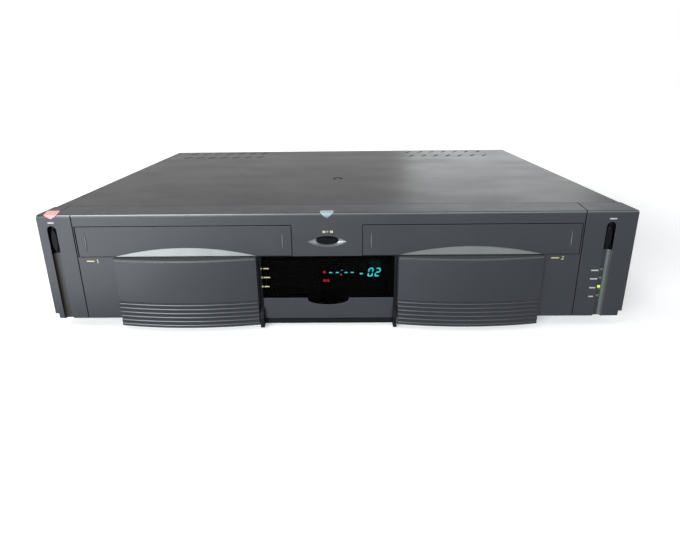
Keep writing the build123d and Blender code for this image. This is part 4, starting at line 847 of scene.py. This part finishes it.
# The top cover is folded steel in a dark fine-textured paint with a satin skin. Dust has settled on it and
# handling has polished it in places. The rear panel is painted the same.
def sprayed_paint(name, colour, roughness, dust):
    """Fine-textured baked paint with settled dust specks, and edges lightened as wear and painted highlight."""
    drift_size, polish_size, grain_size, speck_density = 0.09, 0.035, 0.0007, 260
    dust_grey = (0.45, 0.45, 0.43)
    material, tree, shader = new_material(name)
    tone = ramp(tree, mottle(tree, drift_size, 4), (0.3, shade(colour, 0.92)), (0.7, shade(colour, 1.08)))
    specks = add_node(tree, "TexVoronoi", {"Vector": piece_place(tree), "Scale": speck_density})
    settled = spread(tree, specks.outputs["Distance"], 0.0, dust, start=0.12, end=0.05)
    facing = add_node(tree, "SeparateXYZ", {"Vector": add_node(tree, "NewGeometry").outputs["Normal"]})
    tone = tinted(tree, calculate(tree, "MULTIPLY", facing.outputs["Z"], settled), tone, dust_grey)
    normal, turned = edge_mask(tree, 0.0005)
    # Painted highlight and wear: every edge is painted lighter.
    tone = tinted(tree, turned, tone, shade(colour, 1.6))
    rubbed = spread(tree, mottle(tree, polish_size, 6, (0.5, 1, 1)), roughness - 0.07, roughness + 0.07)
    fill(tree, shader, {"Base Color": tone, "Roughness": rubbed, "Specular IOR Level": 0.08,
                        "Normal": raised(tree, mottle(tree, grain_size, 3), 0.4, 0.00004, normal)})
    return material


cover_paint = sprayed_paint("cover_paint", (0.020, 0.020, 0.022), 0.34, 0.4)
dress(cover_paint, "top_cover", "rear_panel")


# Screws hold the cover and the rear panel: black pan heads with a crosswise recess. The one in the cover's
# dimple has a domed head laid over its plain one.
screw_black, tree, shader = new_material("screw_black")
turned_marks = mottle(tree, 0.0008, 4)
mark_tone = ramp(tree, turned_marks, (0.3, (0.03, 0.03, 0.032)), (0.7, (0.10, 0.10, 0.11)))
fill(tree, shader, {"Base Color": mark_tone, "Roughness": spread(tree, turned_marks, 0.25, 0.45),
                    "Metallic": 0.7})
dress(screw_black, "case_screws")


def screw_head(name, place, facing, radius, height):
    """Domed head with a cross recess, facing along an axis."""
    count, recess_share, recess_depth, dome_start, dome_fall = 32, 0.5, 0.7, 0.3, 2.6
    quarter, arm_points = count // 4, 3
    work = bmesh.new()
    rows = []
    for share in (1.0, 0.98, 0.85, 0.62, recess_share, dome_start):
        lift = height * (1 - max(0.0, share - dome_start) ** 3 * dome_fall) if share < 1.0 else 0.0
        row = []
        for index in range(count):
            angle = 2 * math.pi * index / count
            in_arm = (index + 1) % quarter < arm_points and share <= recess_share
            row.append(work.verts.new((radius * share * math.cos(angle), radius * share * math.sin(angle),
                                       lift - (height * recess_depth if in_arm else 0.0))))
        rows.append(row)
    stitch(work, rows, closed=True)
    middle = work.verts.new((0, 0, height * (1 - recess_depth)))
    for index in range(count):
        work.faces.new((rows[-1][index], rows[-1][(index + 1) % count], middle))
    turn = Vector((0, 0, 1)).rotation_difference(Vector(facing)).to_matrix().to_4x4()
    bmesh.ops.transform(work, matrix=Matrix.Translation(place) @ turn, verts=work.verts)
    add_piece(name, work, screw_black)


head_sunk, from_side, from_edge = 0.0004, 0.02, 0.012
x, y, _ = centre_of("case_screws")
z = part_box("case_screws")[1][2] - head_sunk
screw_head("cover_screw", (x, y, z), (0, 0, 1), radius=0.0031, height=0.0006)
low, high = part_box("rear_panel")
left_x, right_x = low[0] + from_side, high[0] - from_side
foot_z, head_z = low[2] + from_edge, high[2] - from_edge
screw_places = ((left_x, head_z), (0.0, head_z), (right_x, head_z), (left_x, foot_z), (right_x, foot_z))
for index, (x, z) in enumerate(screw_places):
    screw_head(f"rear_screw_{index + 1}", (x, high[1], z), (0, 1, 0), radius=0.0032, height=0.0016)


# The phono jacks are bright metal barrels in a black moulded face. Each has a coloured insulating ring with a
# dark bore: yellow for the picture, white and red for the sound.
socket_black = moulded_plastic("socket_black", (0.012, 0.012, 0.013), 0.38)
dress(socket_black, "rear_jacks", "cord_gland")


def bright_metal(name, colour, roughness):
    """Plated metal with fine turning marks."""
    material, tree, shader = new_material(name)
    marks = mottle(tree, 0.0012, 5, (1, 6, 1))
    fill(tree, shader, {"Base Color": ramp(tree, marks, (0.3, shade(colour, 0.8)), (0.7, colour)),
                        "Roughness": spread(tree, marks, roughness - 0.08, roughness + 0.08),
                        "Metallic": 1.0})
    return material


def turned_piece(name, profile, x, z, back, count, material):
    """Piece turned about an axis that runs back from the rear panel, from radii and depths."""
    work = bmesh.new()
    rows = [corners(work, dot(x, z, radius, count), back + depth) for radius, depth in profile]
    stitch(work, rows, closed=True)
    work.faces.new(rows[-1])
    add_piece(name, work, material, smooth=True)


plated = bright_metal("plated_barrel", (0.72, 0.71, 0.68), 0.25)
yellow_ring = moulded_plastic("yellow_ring", (0.75, 0.52, 0.03), 0.35)
white_ring = moulded_plastic("white_ring", (0.70, 0.70, 0.68), 0.35)
red_ring = moulded_plastic("red_ring", (0.60, 0.03, 0.03), 0.35)
sleeve_profile = ((0.0048, -0.0079), (0.0048, -0.0070), (0.00435, -0.0066), (0.00435, 0.0001),
                  (0.0041, 0.0003), (0.0034, 0.0003))
ring_profile = ((0.0034, 0.0), (0.0034, 0.0004), (0.0031, 0.0006), (0.0019, 0.0006), (0.0016, 0.0004))
bore_profile = ((0.0017, 0.0002), (0.0016, 0.00045))
jack_pitch = 0.016
jack_x, _, jack_z = centre_of("rear_jacks")
jack_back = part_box("rear_jacks")[1][1]
for column, ring in enumerate((red_ring, white_ring, yellow_ring, yellow_ring)):
    for row in (0, 1):
        x, z = jack_x + (column - 1.5) * jack_pitch, jack_z + (row - 0.5) * jack_pitch
        tag = f"{column + 1}_{row + 1}"
        turned_piece(f"jack_sleeve_{tag}", sleeve_profile, x, z, jack_back, 24, plated)
        turned_piece(f"jack_ring_{tag}", ring_profile, x, z, jack_back, 20, ring)
        turned_piece(f"jack_bore_{tag}", bore_profile, x, z, jack_back, 16, socket_black)


# The two aerial sockets are threaded brass barrels, plated bright, on a small tinned can. A pale insulator
# with a dark bore fills each one.
tinned = bright_metal("tinned_can", (0.62, 0.62, 0.60), 0.35)
dress(tinned, "rf_connectors")
crest, root, thread_pitch, thread_turns = 0.0050, 0.0047, 0.0008, 9
thread_start, first_crest, first_root = -0.0079, -0.0076, -0.0072
barrel = [(root, thread_start)]
for step in range(thread_turns):
    barrel += [(crest, first_crest + step * thread_pitch), (root, first_root + step * thread_pitch)]
barrel += [(0.0046, -0.0001), (0.0041, 0.0002), (0.0036, 0.0002)]
insulator = ((0.0036, 0.0001), (0.0034, 0.00035), (0.0009, 0.00035))
aerial_hole = ((0.0008, 0.0003), (0.0007, 0.0005))
half_apart = 0.012
x, _, middle_z = centre_of("rf_connectors")
aerial_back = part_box("rf_connectors")[1][1]
for number, z in ((1, middle_z - half_apart), (2, middle_z + half_apart)):
    turned_piece(f"aerial_thread_{number}", barrel, x, z, aerial_back, 28, plated)
    turned_piece(f"aerial_core_{number}", insulator, x, z, aerial_back, 20, white_ring)
    turned_piece(f"aerial_bore_{number}", aerial_hole, x, z, aerial_back, 12, socket_black)


# The base pan, the deck frames, the sleds, the trays and the pinch arms are zinc-plated sheet steel, with the
# faint spangle that plating leaves.
zinc_steel, tree, shader = new_material("zinc_steel")
spangle = add_node(tree, "TexVoronoi", {"Vector": piece_place(tree), "Scale": 120}).outputs["Distance"]
fill(tree, shader, {"Base Color": ramp(tree, spangle, (0.1, (0.42, 0.43, 0.42)), (0.8, (0.56, 0.56, 0.54))),
                    "Roughness": spread(tree, spangle, 0.32, 0.48), "Metallic": 0.85})
dress(zinc_steel, "base_pan", "tuner_module")
for number in (1, 2):
    dress(zinc_steel, f"deck_frame_{number}", f"carrier_sled_{number}", f"cassette_tray_{number}",
          f"pinch_arm_{number}")


# The head drums and the capstans are turned: polished aluminium for the drums, and hard ground steel for the
# shafts. The reel tables are dark plastic, and the pinch rollers and the feet are black rubber.
aluminium = bright_metal("drum_aluminium", (0.80, 0.80, 0.79), 0.22)
rubber, tree, shader = new_material("rubber")
bloom = mottle(tree, 0.006, 5)
fill(tree, shader, {"Base Color": ramp(tree, bloom, (0.3, (0.012, 0.012, 0.012)), (0.7, (0.03, 0.03, 0.03))),
                    "Roughness": spread(tree, bloom, 0.65, 0.9)})
for number in (1, 2):
    dress(aluminium, f"drum_base_{number}", f"head_drum_{number}")
    dress(tinned, f"capstan_{number}")
    dress(dark_plastic, f"supply_reel_{number}", f"takeup_reel_{number}")
    dress(rubber, f"pinch_roller_{number}")
dress(rubber, "feet")


# The boards are laminate: green on the main board and brown on the supply board, with a darker pattern of
# copper tracks under the varnish.
def laminate(name, field, track):
    """Varnished circuit board with tracks in blocks."""
    material, tree, shader = new_material(name)
    blocks = add_node(tree, "TexVoronoi", {"Vector": piece_place(tree), "Scale": 90}, distance="MANHATTAN")
    fill(tree, shader, {"Base Color": ramp(tree, blocks.outputs["Distance"], (0.35, field), (0.42, track)),
                        "Roughness": 0.3})
    return material


dress(laminate("green_laminate", (0.015, 0.10, 0.035), (0.03, 0.16, 0.06)), "main_board")
dress(laminate("brown_laminate", (0.13, 0.07, 0.025), (0.19, 0.11, 0.045)), "power_supply")
